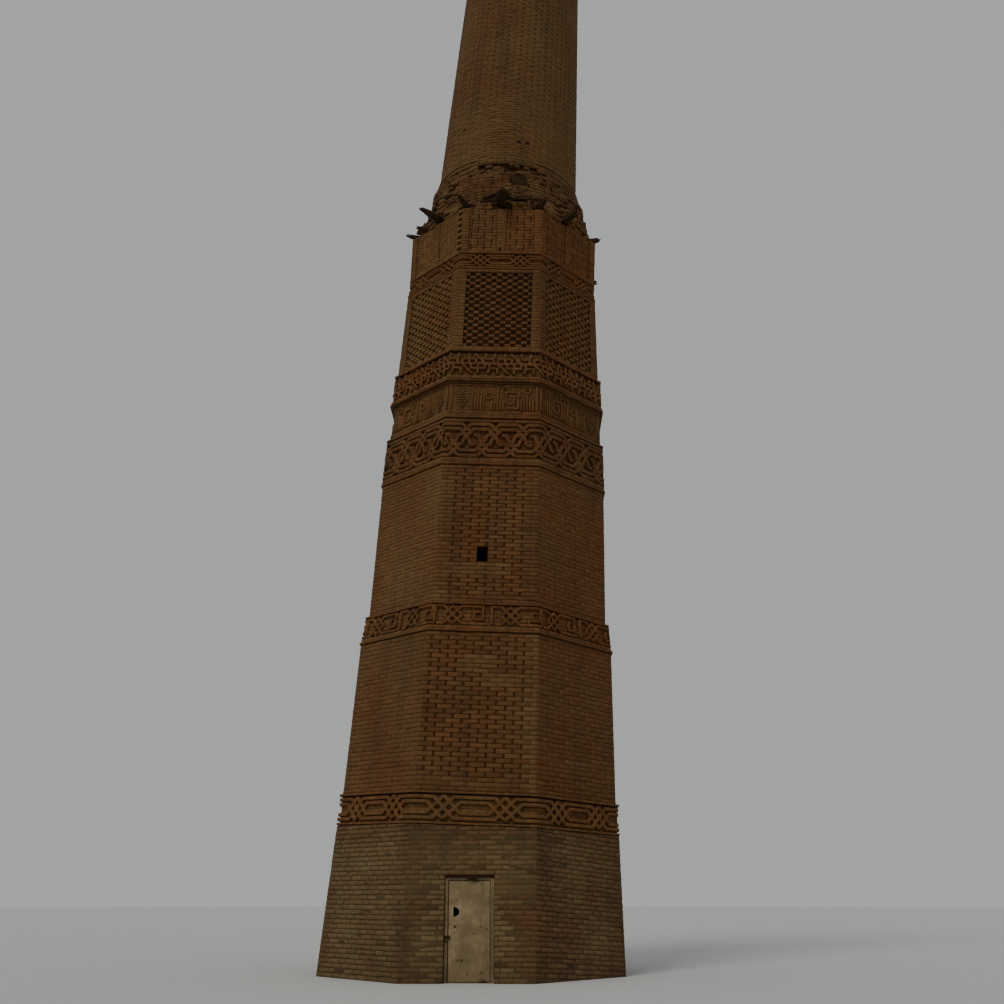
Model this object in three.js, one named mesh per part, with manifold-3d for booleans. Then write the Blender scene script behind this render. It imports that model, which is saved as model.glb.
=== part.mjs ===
// Brick minaret of octagonal tiers under a round tapering shaft.
// Millimetres, +Z up, origin at ground level on the tower's axis, the door faces -Y.
// The tower leans towards +X; its door set was fitted plumb.

import * as THREE from 'three';
import { mergeVertices } from 'three/addons/utils/BufferGeometryUtils.js';
import Module from 'manifold-3d';

const wasm = await Module();
wasm.setup();

// Driving dimensions of the leaning masonry
const LEAN = THREE.MathUtils.degToRad(2.16);
const SHAFT_EXTRA_LEAN = THREE.MathUtils.degToRad(1.56);
const JOINT = 0.4;
const SIDES = 8;
const CORNER = Math.PI / SIDES;
const GROUND_DEPTH = 250;
const ROUND_SEGMENTS = 32;

// Neighbouring sides move out by this much, so that a joint's width parts them at the corner
const SIDE_SHIFT = JOINT / (2 * Math.sin(CORNER));

// Every relief band has a projecting course of this height at its foot and at its head
const LIP_COURSE = 40;

// Outer circumradius and height along the axis at each change of the octagon
const BASE = { bottom: 3120, top: 2985, z: 0, height: 2594 };
const BAND_1 = { lip: [3000, 2982], field: [2950, 2925], z: 2594, height: 581 };
const TIER_2 = { bottom: 2915, top: 2820, z: 3175, height: 3019 };
const BAND_2 = { lip: [2854, 2770], field: [2792, 2735], z: 6194, height: 596 };
const TIER_3 = { bottom: 2692, top: 2645, z: 6790, height: 2984 };
const BAND_3 = { lip: [2678, 2634], field: [2625, 2590], z: 9774, height: 1121 };
const FRIEZE = { bottom: 2562, top: 2545, lip: 2628, z: 10895, height: 905, course: 58 };
const BAND_4 = { lip: [2604, 2572], field: [2555, 2525], z: 11800, height: 730 };
const TIER_4 = { bottom: 2500, top: 2415, z: 12530, height: 2158 };
const BAND_5 = { lip: [2424, 2400], field: [2378, 2360], z: 14688, height: 462 };
const TIER_5 = { bottom: 2395, top: 2412, z: 15150, height: 1170 };
const CORE = { z: 16320, height: 1630, top: 1840, evenBelow: 200, roundAbove: 500 };
const FOOT_RING = { lip: 1838, upperLip: 1826, field: 1806, height: 200, course: 60 };
const SHAFT = { bottom: 1772, top: 1564, height: 6870, offset: -5, wellStep: 60 };

// The hollow inside: circumradius of the octagonal well at the ground, and how it narrows
const WELL_RADIUS = 1500;
const WELL_TAPER = 0.0245;

// Door opening, frame and leaf
const DOOR = { left: -402.6, right: 476.6, head: 1748 };
const FRAME = { jamb: 72, headRail: 90, sill: 15, front: -2762, depth: 80 };
const LEAF = { clearance: 5.5, front: -2754, thickness: 30, bottom: 22, skin: 4, rim: 28 };
const LEAF_RAILS = [560, 1000];
const HAND_HOLE = { left: -241, width: 104, bottom: 1060, height: 160 };
const HINGE_AXIS = { x: 402, y: -2770 };
const HINGE = { radius: 7, halfHeight: 45, plateWidth: 44, heights: [300, 1380], segments: 16 };
const HINGE_PLATE = { behindFrameKnuckle: 2, behindLeafKnuckle: 4, shortOfAxis: 3 };
const HASP = { left: -400, right: -292, z: 690, height: 60, gap: 7, strap: 4, step: 2 };
const PADLOCK = { width: 42, depth: 20, height: 48, shackle: 14, wire: 3.5, overlap: 10, inset: 8 };
const SHACKLE_SEGMENTS = { wire: 8, ring: 20 };
const HAND_HOLE_SEGMENTS = 12;
const FLOOR_THICKNESS = 60;

// Window slit in the third tier, measured on the wall's face
const SLIT = { left: -203, right: 31, bottom: 7676, top: 8015 };

// Sunk panels of the fourth and fifth tiers
const HONEYCOMB = { width: 1490, height: 1945, rise: 115, depth: 95 };
const FIFTH_PANEL = { width: 655, height: 1075, rise: 45, depth: 62, spacing: 850 };

// Ragged core that is left where the gallery broke away
const CORE_PROFILE = [[2400, 0], [2370, 130], [2190, 330], [2080, 720], [2000, 1200], [1870, 1400]];
const CORE_ROUGHNESS = 55;
const CORE_WAVES = [{ lobes: 3, rise: 90, share: 1 }, { lobes: 7, rise: -60, share: 0.7 }];

// Stubs of the gallery's radial timbers: angle in degrees, radius of the broken end
const TIMBER = { z: 16450, root: 1950, width: 130, height: 140 };
const TIMBERS = {
  timber_left_corner: { angle: -159, tip: 2590, taper: 0.45 },
  timber_left_broken: { angle: -149, tip: 2490, taper: 0.5 },
  timber_left_face: { angle: -134, tip: 2840, taper: 0.7 },
  timber_front_left_corner: { angle: -112, tip: 2800, taper: 0.45 },
  timber_front: { angle: -90, tip: 2730, taper: 1 },
  timber_front_right_corner: { angle: -68, tip: 2640, taper: 0.75 },
  timber_right_face: { angle: -49, tip: 2640, taper: 1 },
  timber_right_corner: { angle: -21, tip: 2540, taper: 0.6 },
  timber_back_right: { angle: 23, tip: 2620, taper: 0.6 },
  timber_back: { angle: 90, tip: 2700, taper: 0.9 },
  timber_back_left: { angle: 157, tip: 2560, taper: 0.5 },
};

// Materials
const finish = (color, roughness, metalness) => () =>
  new THREE.MeshStandardMaterial({ color, roughness, metalness });
const brick = finish(0x8a6a48, 0.95, 0);
const paleBrick = finish(0x94794f, 0.95, 0);
const timber = finish(0x4a4038, 0.9, 0);
const floorBrick = finish(0x86755c, 1, 0);
const paintedSteel = finish(0xcbb98c, 0.6, 0.2);
const bareSteel = finish(0x5d554c, 0.55, 0.8);

// Corners closer than this are one
const WELD = 0.001;

// Reach of the cutting solids, past the tower's outline
const BEYOND = 8000;

// Solids: closed meshes are joined and cut as manifolds
function toManifold(geometry) {
  const bare = geometry.clone();
  bare.deleteAttribute('normal');
  bare.deleteAttribute('uv');
  const merged = mergeVertices(bare, WELD);
  return new wasm.Manifold(new wasm.Mesh({
    numProp: 3,
    vertProperties: new Float32Array(merged.attributes.position.array),
    triVerts: new Uint32Array(merged.index.array),
  }));
}

function fromManifold(manifold) {
  const mesh = manifold.getMesh();
  const geometry = new THREE.BufferGeometry();
  geometry.setAttribute('position', new THREE.BufferAttribute(mesh.vertProperties, 3));
  geometry.setIndex(new THREE.BufferAttribute(mesh.triVerts, 1));
  return geometry;
}

function cut(geometry, ...tools) {
  const whole = toManifold(geometry);
  return fromManifold(tools.reduce((solid, tool) => solid.subtract(toManifold(tool)), whole));
}

function common(geometry, tool) {
  return fromManifold(toManifold(geometry).intersect(toManifold(tool)));
}

function join(geometry, ...others) {
  const first = toManifold(geometry);
  return fromManifold(others.reduce((solid, other) => solid.add(toManifold(other)), first));
}

function box(low, high) {
  const geometry = new THREE.BoxGeometry(high[0] - low[0], high[1] - low[1], high[2] - low[2]);
  return geometry.translate((low[0] + high[0]) / 2, (low[1] + high[1]) / 2, (low[2] + high[2]) / 2);
}

// A convex prism between two outlines of the same number of points, counter-clockwise from above
function loft(bottom, top, z0, z1) {
  const count = bottom.length;
  const positions = [...bottom.map(([x, y]) => [x, y, z0]), ...top.map(([x, y]) => [x, y, z1])];
  const index = [];
  for (let i = 1; i < count - 1; i += 1) {
    index.push(0, i + 1, i);
    index.push(count, count + i, count + i + 1);
  }
  for (let i = 0; i < count; i += 1) {
    const next = (i + 1) % count;
    index.push(i, next, count + next);
    index.push(i, count + next, count + i);
  }
  const geometry = new THREE.BufferGeometry();
  geometry.setAttribute('position', new THREE.Float32BufferAttribute(positions.flat(), 3));
  geometry.setIndex(index);
  return geometry;
}

// A ring from a closed profile of [radius, height], with corners where the octagon has them
function ring(profile, segments = SIDES) {
  const outline = [...profile, profile[0]].map(([r, z]) => new THREE.Vector2(r, z));
  return new THREE.LatheGeometry(outline, segments, CORNER).rotateX(Math.PI / 2);
}

// Circumradius of the well inside at a height along the axis
function wellRadius(z) {
  return WELL_RADIUS - WELL_TAPER * z;
}

// The octagonal ring of one storey: outer points from the bottom up, then the well
function storey(z, height, outer) {
  const low = z + JOINT;
  const high = z + height;
  const raised = outer.map(([r, rise], i) => [r, i === 0 ? low : z + rise]);
  return ring([[wellRadius(low), low], ...raised, [wellRadius(high), high]]);
}

function plainStorey(tier) {
  return storey(tier.z, tier.height, [[tier.bottom, 0], [tier.top, tier.height]]);
}

// A band with a projecting course at its foot and another at its head
function bandStorey(band) {
  const { lip, field, height } = band;
  return storey(band.z, height, [
    [lip[0], 0],
    [lip[0], LIP_COURSE],
    [field[0], LIP_COURSE],
    [field[1], height - LIP_COURSE],
    [lip[1], height - LIP_COURSE],
    [lip[1], height],
  ]);
}

function polar(radius, angle) {
  return [radius * Math.cos(angle), radius * Math.sin(angle)];
}

// Direction of a face's outward normal; face 0 is the front and they run counter-clockwise
function faceAngle(face) {
  return -Math.PI / 2 + 2 * CORNER * face;
}

// One straight side of the octagonal wall, parted from its neighbours by a joint
function wallSide(face, tier, z0, z1) {
  const angle = faceAngle(face);
  const slope = (tier.top - tier.bottom) / tier.height;
  const outline = (z) => {
    const outer = tier.bottom + slope * (z - tier.z);
    const inner = wellRadius(z);
    return [
      polar(inner, angle + CORNER),
      polar(inner, angle - CORNER),
      polar(outer, angle - CORNER),
      polar(outer, angle + CORNER),
    ];
  };
  return loft(outline(z0), outline(z1), z0, z1).translate(...polar(SIDE_SHIFT, angle), 0);
}

// Puts a geometry that was made along the tower's axis into the leaning position
function leaning(geometry) {
  return geometry.rotateY(LEAN);
}

const group = new THREE.Group();
const tower = new THREE.Group();
tower.rotation.y = LEAN;
group.add(tower);

function add(parent, name, geometry, material) {
  const mesh = new THREE.Mesh(geometry, material);
  mesh.name = name;
  parent.add(mesh);
  return mesh;
}

// Base tier: seven whole sides and the front, split beside and over the doorway
const underground = box([-BEYOND, -BEYOND, -BEYOND], [BEYOND, BEYOND, 0]);
const baseSide = (face) => cut(leaning(wallSide(face, BASE, -GROUND_DEPTH, BASE.height)), underground);
const front = baseSide(0);
const rightOf = (x) => box([x, -BEYOND, -BEYOND], [BEYOND, BEYOND, BEYOND]);
const leftOf = (x) => box([-BEYOND, -BEYOND, -BEYOND], [x, BEYOND, BEYOND]);
add(group, 'base_wall_front_left', cut(front, rightOf(DOOR.left)), paleBrick());
add(group, 'base_wall_front_right', cut(front, leftOf(DOOR.right)), paleBrick());
const overDoor = box([DOOR.left + JOINT, -BEYOND, DOOR.head], [DOOR.right - JOINT, BEYOND, BEYOND]);
add(group, 'base_wall_over_door', common(front, overDoor), paleBrick());
const BASE_SIDES = ['right_front', 'right', 'right_back', 'back', 'left_back', 'left', 'left_front'];
BASE_SIDES.forEach((side, i) => add(group, `base_wall_${side}`, baseSide(i + 1), paleBrick()));

// Floor of the well and of the passage behind the door
const wellOutline = (z, inset) => Array.from({ length: SIDES }, (_, i) =>
  polar(wellRadius(z) - inset, faceAngle(i) + CORNER));
const wellCore = (inset) => leaning(
  loft(wellOutline(-GROUND_DEPTH, inset), wellOutline(GROUND_DEPTH, inset), -GROUND_DEPTH, GROUND_DEPTH));
const floorSlab = box([-BEYOND, -BEYOND, 0], [BEYOND, BEYOND, FLOOR_THICKNESS]);
add(group, 'floor', common(floorSlab, wellCore(0)), floorBrick());
const passageSlab = box(
  [DOOR.left + JOINT, FRAME.front + FRAME.depth + JOINT, 0],
  [DOOR.right - JOINT, 0, FLOOR_THICKNESS]);
add(group, 'passage_floor', cut(passageSlab, wellCore(-JOINT)), floorBrick());

// The octagon's storeys above the base
add(tower, 'band_1', bandStorey(BAND_1), brick());
add(tower, 'tier_2_wall', plainStorey(TIER_2), brick());
add(tower, 'band_2', bandStorey(BAND_2), brick());

// Third tier: the front side has the window slit, the other seven are one piece
const tier3Front = wallSide(0, TIER_3, TIER_3.z + JOINT, TIER_3.z + TIER_3.height);
const slit = box([SLIT.left, -BEYOND, SLIT.bottom], [SLIT.right, 0, SLIT.top]);
add(tower, 'tier_3_front_wall', cut(tier3Front, slit), brick());
const frontSector = [[0, 0], polar(BEYOND, faceAngle(0) - CORNER), polar(BEYOND, faceAngle(0) + CORNER)];
const besideFront = loft(frontSector, frontSector, TIER_3.z, BEYOND * 2).translate(0, JOINT, 0);
add(tower, 'tier_3_wall', cut(plainStorey(TIER_3), besideFront), brick());

add(tower, 'band_3', bandStorey(BAND_3), brick());
const friezeProfile = [
  [FRIEZE.bottom, 0],
  [FRIEZE.top, FRIEZE.height - FRIEZE.course],
  [FRIEZE.lip, FRIEZE.height - FRIEZE.course],
  [FRIEZE.lip, FRIEZE.height],
];
add(tower, 'frieze_band', storey(FRIEZE.z, FRIEZE.height, friezeProfile), brick());
add(tower, 'band_4', bandStorey(BAND_4), brick());

// A sunk panel in the octagon's side, as the box to cut out
function panelRecess(face, tier, panel, along) {
  const apothem = Math.cos(CORNER);
  const batter = Math.atan((tier.bottom - tier.top) * apothem / tier.height);
  const middle = panel.rise + panel.height / 2;
  const radius = (tier.bottom + (tier.top - tier.bottom) * middle / tier.height) * apothem;
  const recess = new THREE.BoxGeometry(panel.width, panel.depth * 2, panel.height);
  recess.rotateX(-batter).translate(along, -radius, tier.z + middle);
  return recess.rotateZ(2 * CORNER * face);
}

const faces = Array.from({ length: SIDES }, (_, i) => i);
const honeycombRecesses = faces.map((face) => panelRecess(face, TIER_4, HONEYCOMB, 0));
add(tower, 'tier_4_wall', cut(plainStorey(TIER_4), ...honeycombRecesses), brick());
add(tower, 'band_5', bandStorey(BAND_5), brick());
const pairOffsets = [-FIFTH_PANEL.spacing / 2, FIFTH_PANEL.spacing / 2];
const fifthRecesses = faces.flatMap((face) =>
  pairOffsets.map((along) => panelRecess(face, TIER_5, FIFTH_PANEL, along)));
add(tower, 'tier_5_wall', cut(plainStorey(TIER_5), ...fifthRecesses), brick());

// Timber stub: a squared beam whose weathered end is thinner and droops a little
function timberStub({ angle, tip, taper }, grow = 0) {
  const half = TIMBER.width / 2 + grow;
  const tall = TIMBER.height / 2 + grow;
  const section = (scale) => [
    [-half * scale, -tall * scale],
    [half * scale, -tall * scale],
    [half * scale, tall * scale],
    [-half * scale, tall * scale],
  ];
  const stub = loft(section(1), section(taper), TIMBER.root - grow, tip);
  stub.rotateX(Math.PI / 2).rotateZ(Math.PI);
  return stub.rotateZ(THREE.MathUtils.degToRad(angle - 90)).translate(0, 0, TIMBER.z);
}

// Broken core: a rough mound whose top is square to the shaft's own axis
function brokenCore() {
  const { z, height } = CORE;
  const profile = [
    [wellRadius(z), JOINT],
    ...CORE_PROFILE.map(([r, rise], i) => [r, i === 0 ? JOINT : rise]),
    [CORE.top, height],
    [wellRadius(z + height), height],
  ];
  const geometry = ring(profile, ROUND_SEGMENTS);
  const position = geometry.attributes.position;
  const point = new THREE.Vector3();
  for (let i = 0; i < position.count; i += 1) {
    point.fromBufferAttribute(position, i);
    const radius = Math.hypot(point.x, point.y);
    const angle = Math.atan2(point.y, point.x);
    const onTop = point.z > height - JOINT;
    const outside = radius > wellRadius(z) + JOINT;
    if (outside && !onTop) {
      const wave = CORE_WAVES.reduce((sum, { lobes, rise, share }) =>
        sum + share * Math.sin(lobes * angle + point.z / rise), 0);
      const facing = 2 * CORNER * Math.round(angle / (2 * CORNER));
      const octagon = Math.cos(CORNER) / Math.cos(angle - facing);
      const blend = THREE.MathUtils.clamp(1 - point.z / CORE.roundAbove, 0, 1);
      const rough = point.z < CORE.evenBelow ? 0 : CORE_ROUGHNESS * wave;
      const scale = (1 - blend) + blend * octagon + rough / radius;
      point.x *= scale;
      point.y *= scale;
    }
    const tilt = onTop ? -point.x * Math.tan(SHAFT_EXTRA_LEAN) : 0;
    position.setXYZ(i, point.x, point.y, point.z + z + tilt);
  }
  return geometry;
}

const pockets = Object.values(TIMBERS).map((stub) => timberStub(stub, JOINT));
add(tower, 'gallery_core', cut(brokenCore(), ...pockets), brick());
Object.entries(TIMBERS).forEach(([name, stub]) => add(tower, name, timberStub(stub), timber()));

// The shaft stands on the core with a lean of its own
const shaft = new THREE.Group();
shaft.position.set(SHAFT.offset, 0, CORE.z + CORE.height);
shaft.rotation.y = SHAFT_EXTRA_LEAN;
tower.add(shaft);
const shaftWell = (z) => wellRadius(CORE.z + CORE.height + z) - SHAFT.wellStep;
const footProfile = [
  [shaftWell(0), JOINT],
  [FOOT_RING.lip, JOINT],
  [FOOT_RING.lip, FOOT_RING.course],
  [FOOT_RING.field, FOOT_RING.course],
  [FOOT_RING.field, FOOT_RING.height - FOOT_RING.course],
  [FOOT_RING.upperLip, FOOT_RING.height - FOOT_RING.course],
  [FOOT_RING.upperLip, FOOT_RING.height],
  [shaftWell(FOOT_RING.height), FOOT_RING.height],
];
add(shaft, 'shaft_foot_ring', ring(footProfile, ROUND_SEGMENTS), brick());

// One of the shaft's eight staves: flat inside, round outside
function stave(index) {
  const z0 = FOOT_RING.height + JOINT;
  const z1 = FOOT_RING.height + SHAFT.height;
  const middle = faceAngle(index);
  const arcSteps = ROUND_SEGMENTS / SIDES;
  const outline = (z, radius) => {
    const arc = Array.from({ length: arcSteps + 1 }, (_, i) =>
      polar(radius, middle - CORNER + 2 * CORNER * i / arcSteps));
    return [polar(shaftWell(z), middle + CORNER), polar(shaftWell(z), middle - CORNER), ...arc];
  };
  const body = loft(outline(z0, SHAFT.bottom), outline(z1, SHAFT.top), z0, z1);
  return body.translate(...polar(SIDE_SHIFT, middle), 0);
}
faces.forEach((face) => add(shaft, `shaft_stave_${face + 1}`, stave(face), brick()));

// Door set. An outline drawn as seen from the front becomes a plate facing -Y
function plate(shape, frontY, depth) {
  const settings = { depth, bevelEnabled: false, curveSegments: HAND_HOLE_SEGMENTS };
  const geometry = new THREE.ExtrudeGeometry(shape, settings);
  return geometry.rotateX(Math.PI / 2).translate(0, frontY + depth, 0);
}

function rectangle(left, bottom, right, top) {
  return new THREE.Shape([
    new THREE.Vector2(left, bottom),
    new THREE.Vector2(right, bottom),
    new THREE.Vector2(right, top),
    new THREE.Vector2(left, top),
  ]);
}

const frameInside = {
  left: DOOR.left + JOINT + FRAME.jamb,
  right: DOOR.right - JOINT - FRAME.jamb,
  top: DOOR.head - JOINT - FRAME.headRail,
};
const frameShape = rectangle(DOOR.left + JOINT, 0, DOOR.right - JOINT, DOOR.head - JOINT);
frameShape.holes.push(rectangle(frameInside.left, FRAME.sill, frameInside.right, frameInside.top));
add(group, 'door_frame', plate(frameShape, FRAME.front, FRAME.depth), paintedSteel());

// Leaf: a steel sheet with a returned rim and two rails behind, and a D-shaped hand hole
const leaf = {
  left: frameInside.left + LEAF.clearance,
  right: frameInside.right - LEAF.clearance,
  top: frameInside.top - LEAF.clearance,
};
const leafShape = rectangle(leaf.left, LEAF.bottom, leaf.right, leaf.top);
const handHole = new THREE.Path();
handHole.moveTo(HAND_HOLE.left, HAND_HOLE.bottom);
handHole.ellipse(0, HAND_HOLE.height / 2, HAND_HOLE.width, HAND_HOLE.height / 2, -Math.PI / 2, Math.PI / 2);
leafShape.holes.push(handHole);
const leafBlock = plate(leafShape, LEAF.front, LEAF.thickness);
const railHeights = [LEAF.bottom, ...LEAF_RAILS, leaf.top - LEAF.rim];
const leafPockets = railHeights.slice(0, -1).map((height, i) => box(
  [leaf.left + LEAF.rim, LEAF.front + LEAF.skin, height + LEAF.rim],
  [leaf.right - LEAF.rim, LEAF.front + 2 * LEAF.thickness, railHeights[i + 1]]));
add(group, 'door_leaf', cut(leafBlock, ...leafPockets), paintedSteel());

// Hinges: the lower knuckle and plate are on the frame, the upper ones on the leaf
function knuckle(z0, z1) {
  const barrel = new THREE.CylinderGeometry(HINGE.radius, HINGE.radius, z1 - z0, HINGE.segments);
  return barrel.rotateX(Math.PI / 2).translate(HINGE_AXIS.x, HINGE_AXIS.y, (z0 + z1) / 2);
}
['lower', 'upper'].forEach((place, i) => {
  const z = HINGE.heights[i];
  const low = z - HINGE.halfHeight;
  const high = z + HINGE.halfHeight;
  const onFrame = box(
    [HINGE_AXIS.x, HINGE_AXIS.y + HINGE_PLATE.behindFrameKnuckle, low],
    [HINGE_AXIS.x + HINGE.plateWidth, FRAME.front - JOINT, z]);
  const onLeaf = box(
    [HINGE_AXIS.x - HINGE.plateWidth, HINGE_AXIS.y + HINGE_PLATE.behindLeafKnuckle, z + JOINT],
    [HINGE_AXIS.x - HINGE_PLATE.shortOfAxis, LEAF.front - JOINT, high]);
  add(group, `hinge_${place}_frame_half`, join(knuckle(low, z), onFrame), bareSteel());
  add(group, `hinge_${place}_leaf_half`, join(knuckle(z + JOINT, high), onLeaf), bareSteel());
});

// Hasp strap on the leaf, standing clear of the frame, and the padlock on it
const haspFront = FRAME.front - HASP.gap - HASP.strap;
const haspOutline = new THREE.Shape([
  new THREE.Vector2(HASP.left, haspFront),
  new THREE.Vector2(HASP.right, haspFront),
  new THREE.Vector2(HASP.right, LEAF.front - JOINT),
  new THREE.Vector2(leaf.left + HASP.step, LEAF.front - JOINT),
  new THREE.Vector2(leaf.left + HASP.step, haspFront + HASP.strap),
  new THREE.Vector2(HASP.left, haspFront + HASP.strap),
]);
const hasp = new THREE.ExtrudeGeometry(haspOutline, { depth: HASP.height, bevelEnabled: false });
add(group, 'door_hasp', hasp.translate(0, 0, HASP.z), bareSteel());
const lockX = HASP.left + PADLOCK.width / 2 + PADLOCK.inset;
const lockY = haspFront - JOINT - PADLOCK.depth / 2;
const lockTop = HASP.z + PADLOCK.overlap;
const lockBody = box(
  [lockX - PADLOCK.width / 2, lockY - PADLOCK.depth / 2, lockTop - PADLOCK.height],
  [lockX + PADLOCK.width / 2, lockY + PADLOCK.depth / 2, lockTop]);
const shackle = new THREE.TorusGeometry(
  PADLOCK.shackle, PADLOCK.wire, SHACKLE_SEGMENTS.wire, SHACKLE_SEGMENTS.ring);
shackle.rotateX(Math.PI / 2).translate(lockX, lockY, lockTop);
add(group, 'padlock', join(lockBody, shackle), bareSteel());

export default group;
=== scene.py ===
"""Looks of a leaning brick minaret: its courses, brick strapwork, broken core, timbers and door."""
import math

import bpy
import numpy as np
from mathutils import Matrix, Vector, noise
from mathutils.bvhtree import BVHTree


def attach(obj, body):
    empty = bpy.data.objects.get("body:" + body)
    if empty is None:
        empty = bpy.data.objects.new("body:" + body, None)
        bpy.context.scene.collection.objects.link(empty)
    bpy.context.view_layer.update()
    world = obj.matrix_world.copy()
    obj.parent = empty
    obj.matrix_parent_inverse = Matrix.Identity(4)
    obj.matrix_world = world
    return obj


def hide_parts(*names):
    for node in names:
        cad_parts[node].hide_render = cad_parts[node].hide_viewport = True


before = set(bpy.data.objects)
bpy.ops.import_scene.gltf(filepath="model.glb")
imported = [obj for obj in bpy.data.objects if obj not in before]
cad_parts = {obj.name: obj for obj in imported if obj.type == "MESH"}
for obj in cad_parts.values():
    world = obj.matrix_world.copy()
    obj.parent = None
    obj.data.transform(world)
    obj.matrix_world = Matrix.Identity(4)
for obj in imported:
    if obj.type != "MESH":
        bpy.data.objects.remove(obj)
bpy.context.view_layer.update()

# Lean of the octagon, and the further lean of the round shaft that stands on it
LEAN = math.radians(2.16)
SHAFT_LEAN = math.radians(1.56)
SHAFT_FOOT = np.array([-0.005, 0.0, 17.95])

# An octagon's corners are at its circumradius, and its sides' middles at this share of it
SIDES = 8
CORNER = math.pi / SIDES
APOTHEM = math.cos(CORNER)

# Height of the foot and of the head, and circumradius at both, in metres along the leaning axis
BASE = (0.0, 2.594, 3.120, 2.985)
TIER_2 = (3.175, 6.194, 2.915, 2.820)
TIER_3 = (6.790, 9.774, 2.692, 2.645)
FRIEZE = (10.895, 11.710, 2.562, 2.545)
TIER_4 = (12.530, 14.688, 2.500, 2.415)
TIER_5 = (15.150, 16.320, 2.395, 2.412)

# Ornamental bands: foot and head, circumradius of both lips and of the field, height of a lip
LIP = 0.040
BANDS = {
    "band_1": dict(foot=2.594, head=3.175, lips=(3.000, 2.982), field=(2.950, 2.925)),
    "band_2": dict(foot=6.194, head=6.790, lips=(2.854, 2.770), field=(2.792, 2.735)),
    "band_3": dict(foot=9.774, head=10.895, lips=(2.678, 2.634), field=(2.625, 2.590)),
    "band_4": dict(foot=11.800, head=12.530, lips=(2.604, 2.572), field=(2.555, 2.525)),
    "band_5": dict(foot=14.688, head=15.150, lips=(2.424, 2.400), field=(2.378, 2.360)),
}
CORE_FOOT, CORE_HEAD = 16.320, 17.950
SHAFT = (0.200, 7.070, 1.772, 1.564)

# Doorway and window, cut through the front side
DOOR = dict(left=-0.4026, right=0.4766, head=1.748)
SLIT = (-0.195, 0.022, 7.713, 7.965)

# The masonry behind the bricks' faces lies this deep, and the joints' mortar this deep
BED = 0.060
MORTAR = 0.012
TOP_BED = 0.030

# Open joint under the foot of each band
SHADOW_GAP = 0.014

# A band's field lies this deep behind its flat borders, on a bed deeper still, and a groove is left
# open under its upper lip
FIELD_SUNK = 0.030
FIELD_BED = 0.055
GROOVE = 0.024

# Materials of a piece of masonry, by their place in its list
BRICK, JOINT, INSIDE = 0, 1, 2


def turned(points, angle):
    """Points turned about the Y axis, from +Z towards +X."""
    c, s = math.cos(angle), math.sin(angle)
    x, y, z = np.moveaxis(np.asarray(points, float), -1, 0)
    return np.stack([x * c + z * s, y, z * c - x * s], -1)


def on_shaft(points):
    """Points given from the middle of the shaft's foot, moved to their place on the tower."""
    return turned(points, SHAFT_LEAN) + SHAFT_FOOT


def polar(radius, angle, z):
    return np.stack([radius * np.cos(angle), radius * np.sin(angle), z], -1)


# Walls: place() turns (along the wall, height, out of the wall) into a point
class Wall:
    """A storey's wall, whose radius changes evenly from its foot to its head."""

    def __init__(self, foot, head, bottom, top):
        self.foot, self.head, self.bottom, self.top = foot, head, bottom, top

    def radius(self, z):
        share = (z - self.foot) / (self.head - self.foot)
        return self.bottom + (self.top - self.bottom) * share


class Side(Wall):
    """One side of an octagonal storey: u runs to the right, z up the axis, out from the wall."""

    def __init__(self, number, storey):
        super().__init__(*storey)
        self.number = number
        self.angle = 2 * CORNER * number - math.pi / 2

    def apothem(self, z):
        return self.radius(z) * APOTHEM

    def half(self, z, out=0.0):
        return (self.apothem(z) + out) * math.tan(CORNER)

    def place(self, points):
        u, z, out = np.moveaxis(points, -1, 0)
        away = self.apothem(z) + out
        c, s = math.cos(self.angle), math.sin(self.angle)
        return np.stack([c * away - s * u, s * away + c * u, z], -1)


def sides(storey):
    return [Side(number, storey) for number in range(SIDES)]


def mean_width(bottom, top):
    """Width of an octagon's side halfway up."""
    return (bottom + top) * math.sin(CORNER)


class Level(Side):
    """A side of the base. Its courses run level although it leans, or have sunk towards its right end: z
    is their height above the ground at its left end."""

    def __init__(self, number, storey, sinks):
        super().__init__(number, storey)
        self.sinks = sinks

    def sunk(self, u, z):
        return self.sinks * (0.5 + u / self.half(z) / 2)

    def limits(self, u):
        """Lowest and highest z of what stands above the ground and under the band."""
        x = math.cos(self.angle) * self.apothem(self.head) - math.sin(self.angle) * u
        ceiling = (self.head - SHADOW_GAP) * math.cos(LEAN) - x * math.sin(LEAN)
        return self.sunk(u, self.foot), ceiling + self.sunk(u, self.head)

    def place(self, points):
        u, z, out = np.moveaxis(points, -1, 0)
        height = z - self.sunk(u, z)
        u = u * self.half(height) / self.half(z)
        own = height / math.cos(LEAN)
        x = math.cos(self.angle) * (self.apothem(own) + out) - math.sin(self.angle) * u
        own = np.minimum(own + x * math.tan(LEAN), self.head - SHADOW_GAP)
        return super().place(np.stack([u, own, out], -1))


class Rough:
    """A broken round face about the tower's axis: u runs round it, and out is the radius itself."""

    MIDDLE = 2.2

    def place(self, points):
        u, z, radius = np.moveaxis(points, -1, 0)
        return polar(radius, u / self.MIDDLE, z)


class Upright:
    """The plane of the door, upright on the ground: out is the distance in front of the axis."""

    def place(self, points):
        u, z, out = np.moveaxis(points, -1, 0)
        return np.stack([u, -out, z], -1)


class Round(Wall):
    """The shaft's round face: u runs round it at the middle radius, z up its own axis."""

    def half(self, z, out=0.0):
        return math.pi * (self.bottom + self.top) / 2

    def bent(self, u, radius, z):
        return on_shaft(polar(radius, 2 * u / (self.bottom + self.top) - math.pi / 2, z))

    def place(self, points):
        u, z, out = np.moveaxis(points, -1, 0)
        return self.bent(u, self.radius(z) + out, z)


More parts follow.
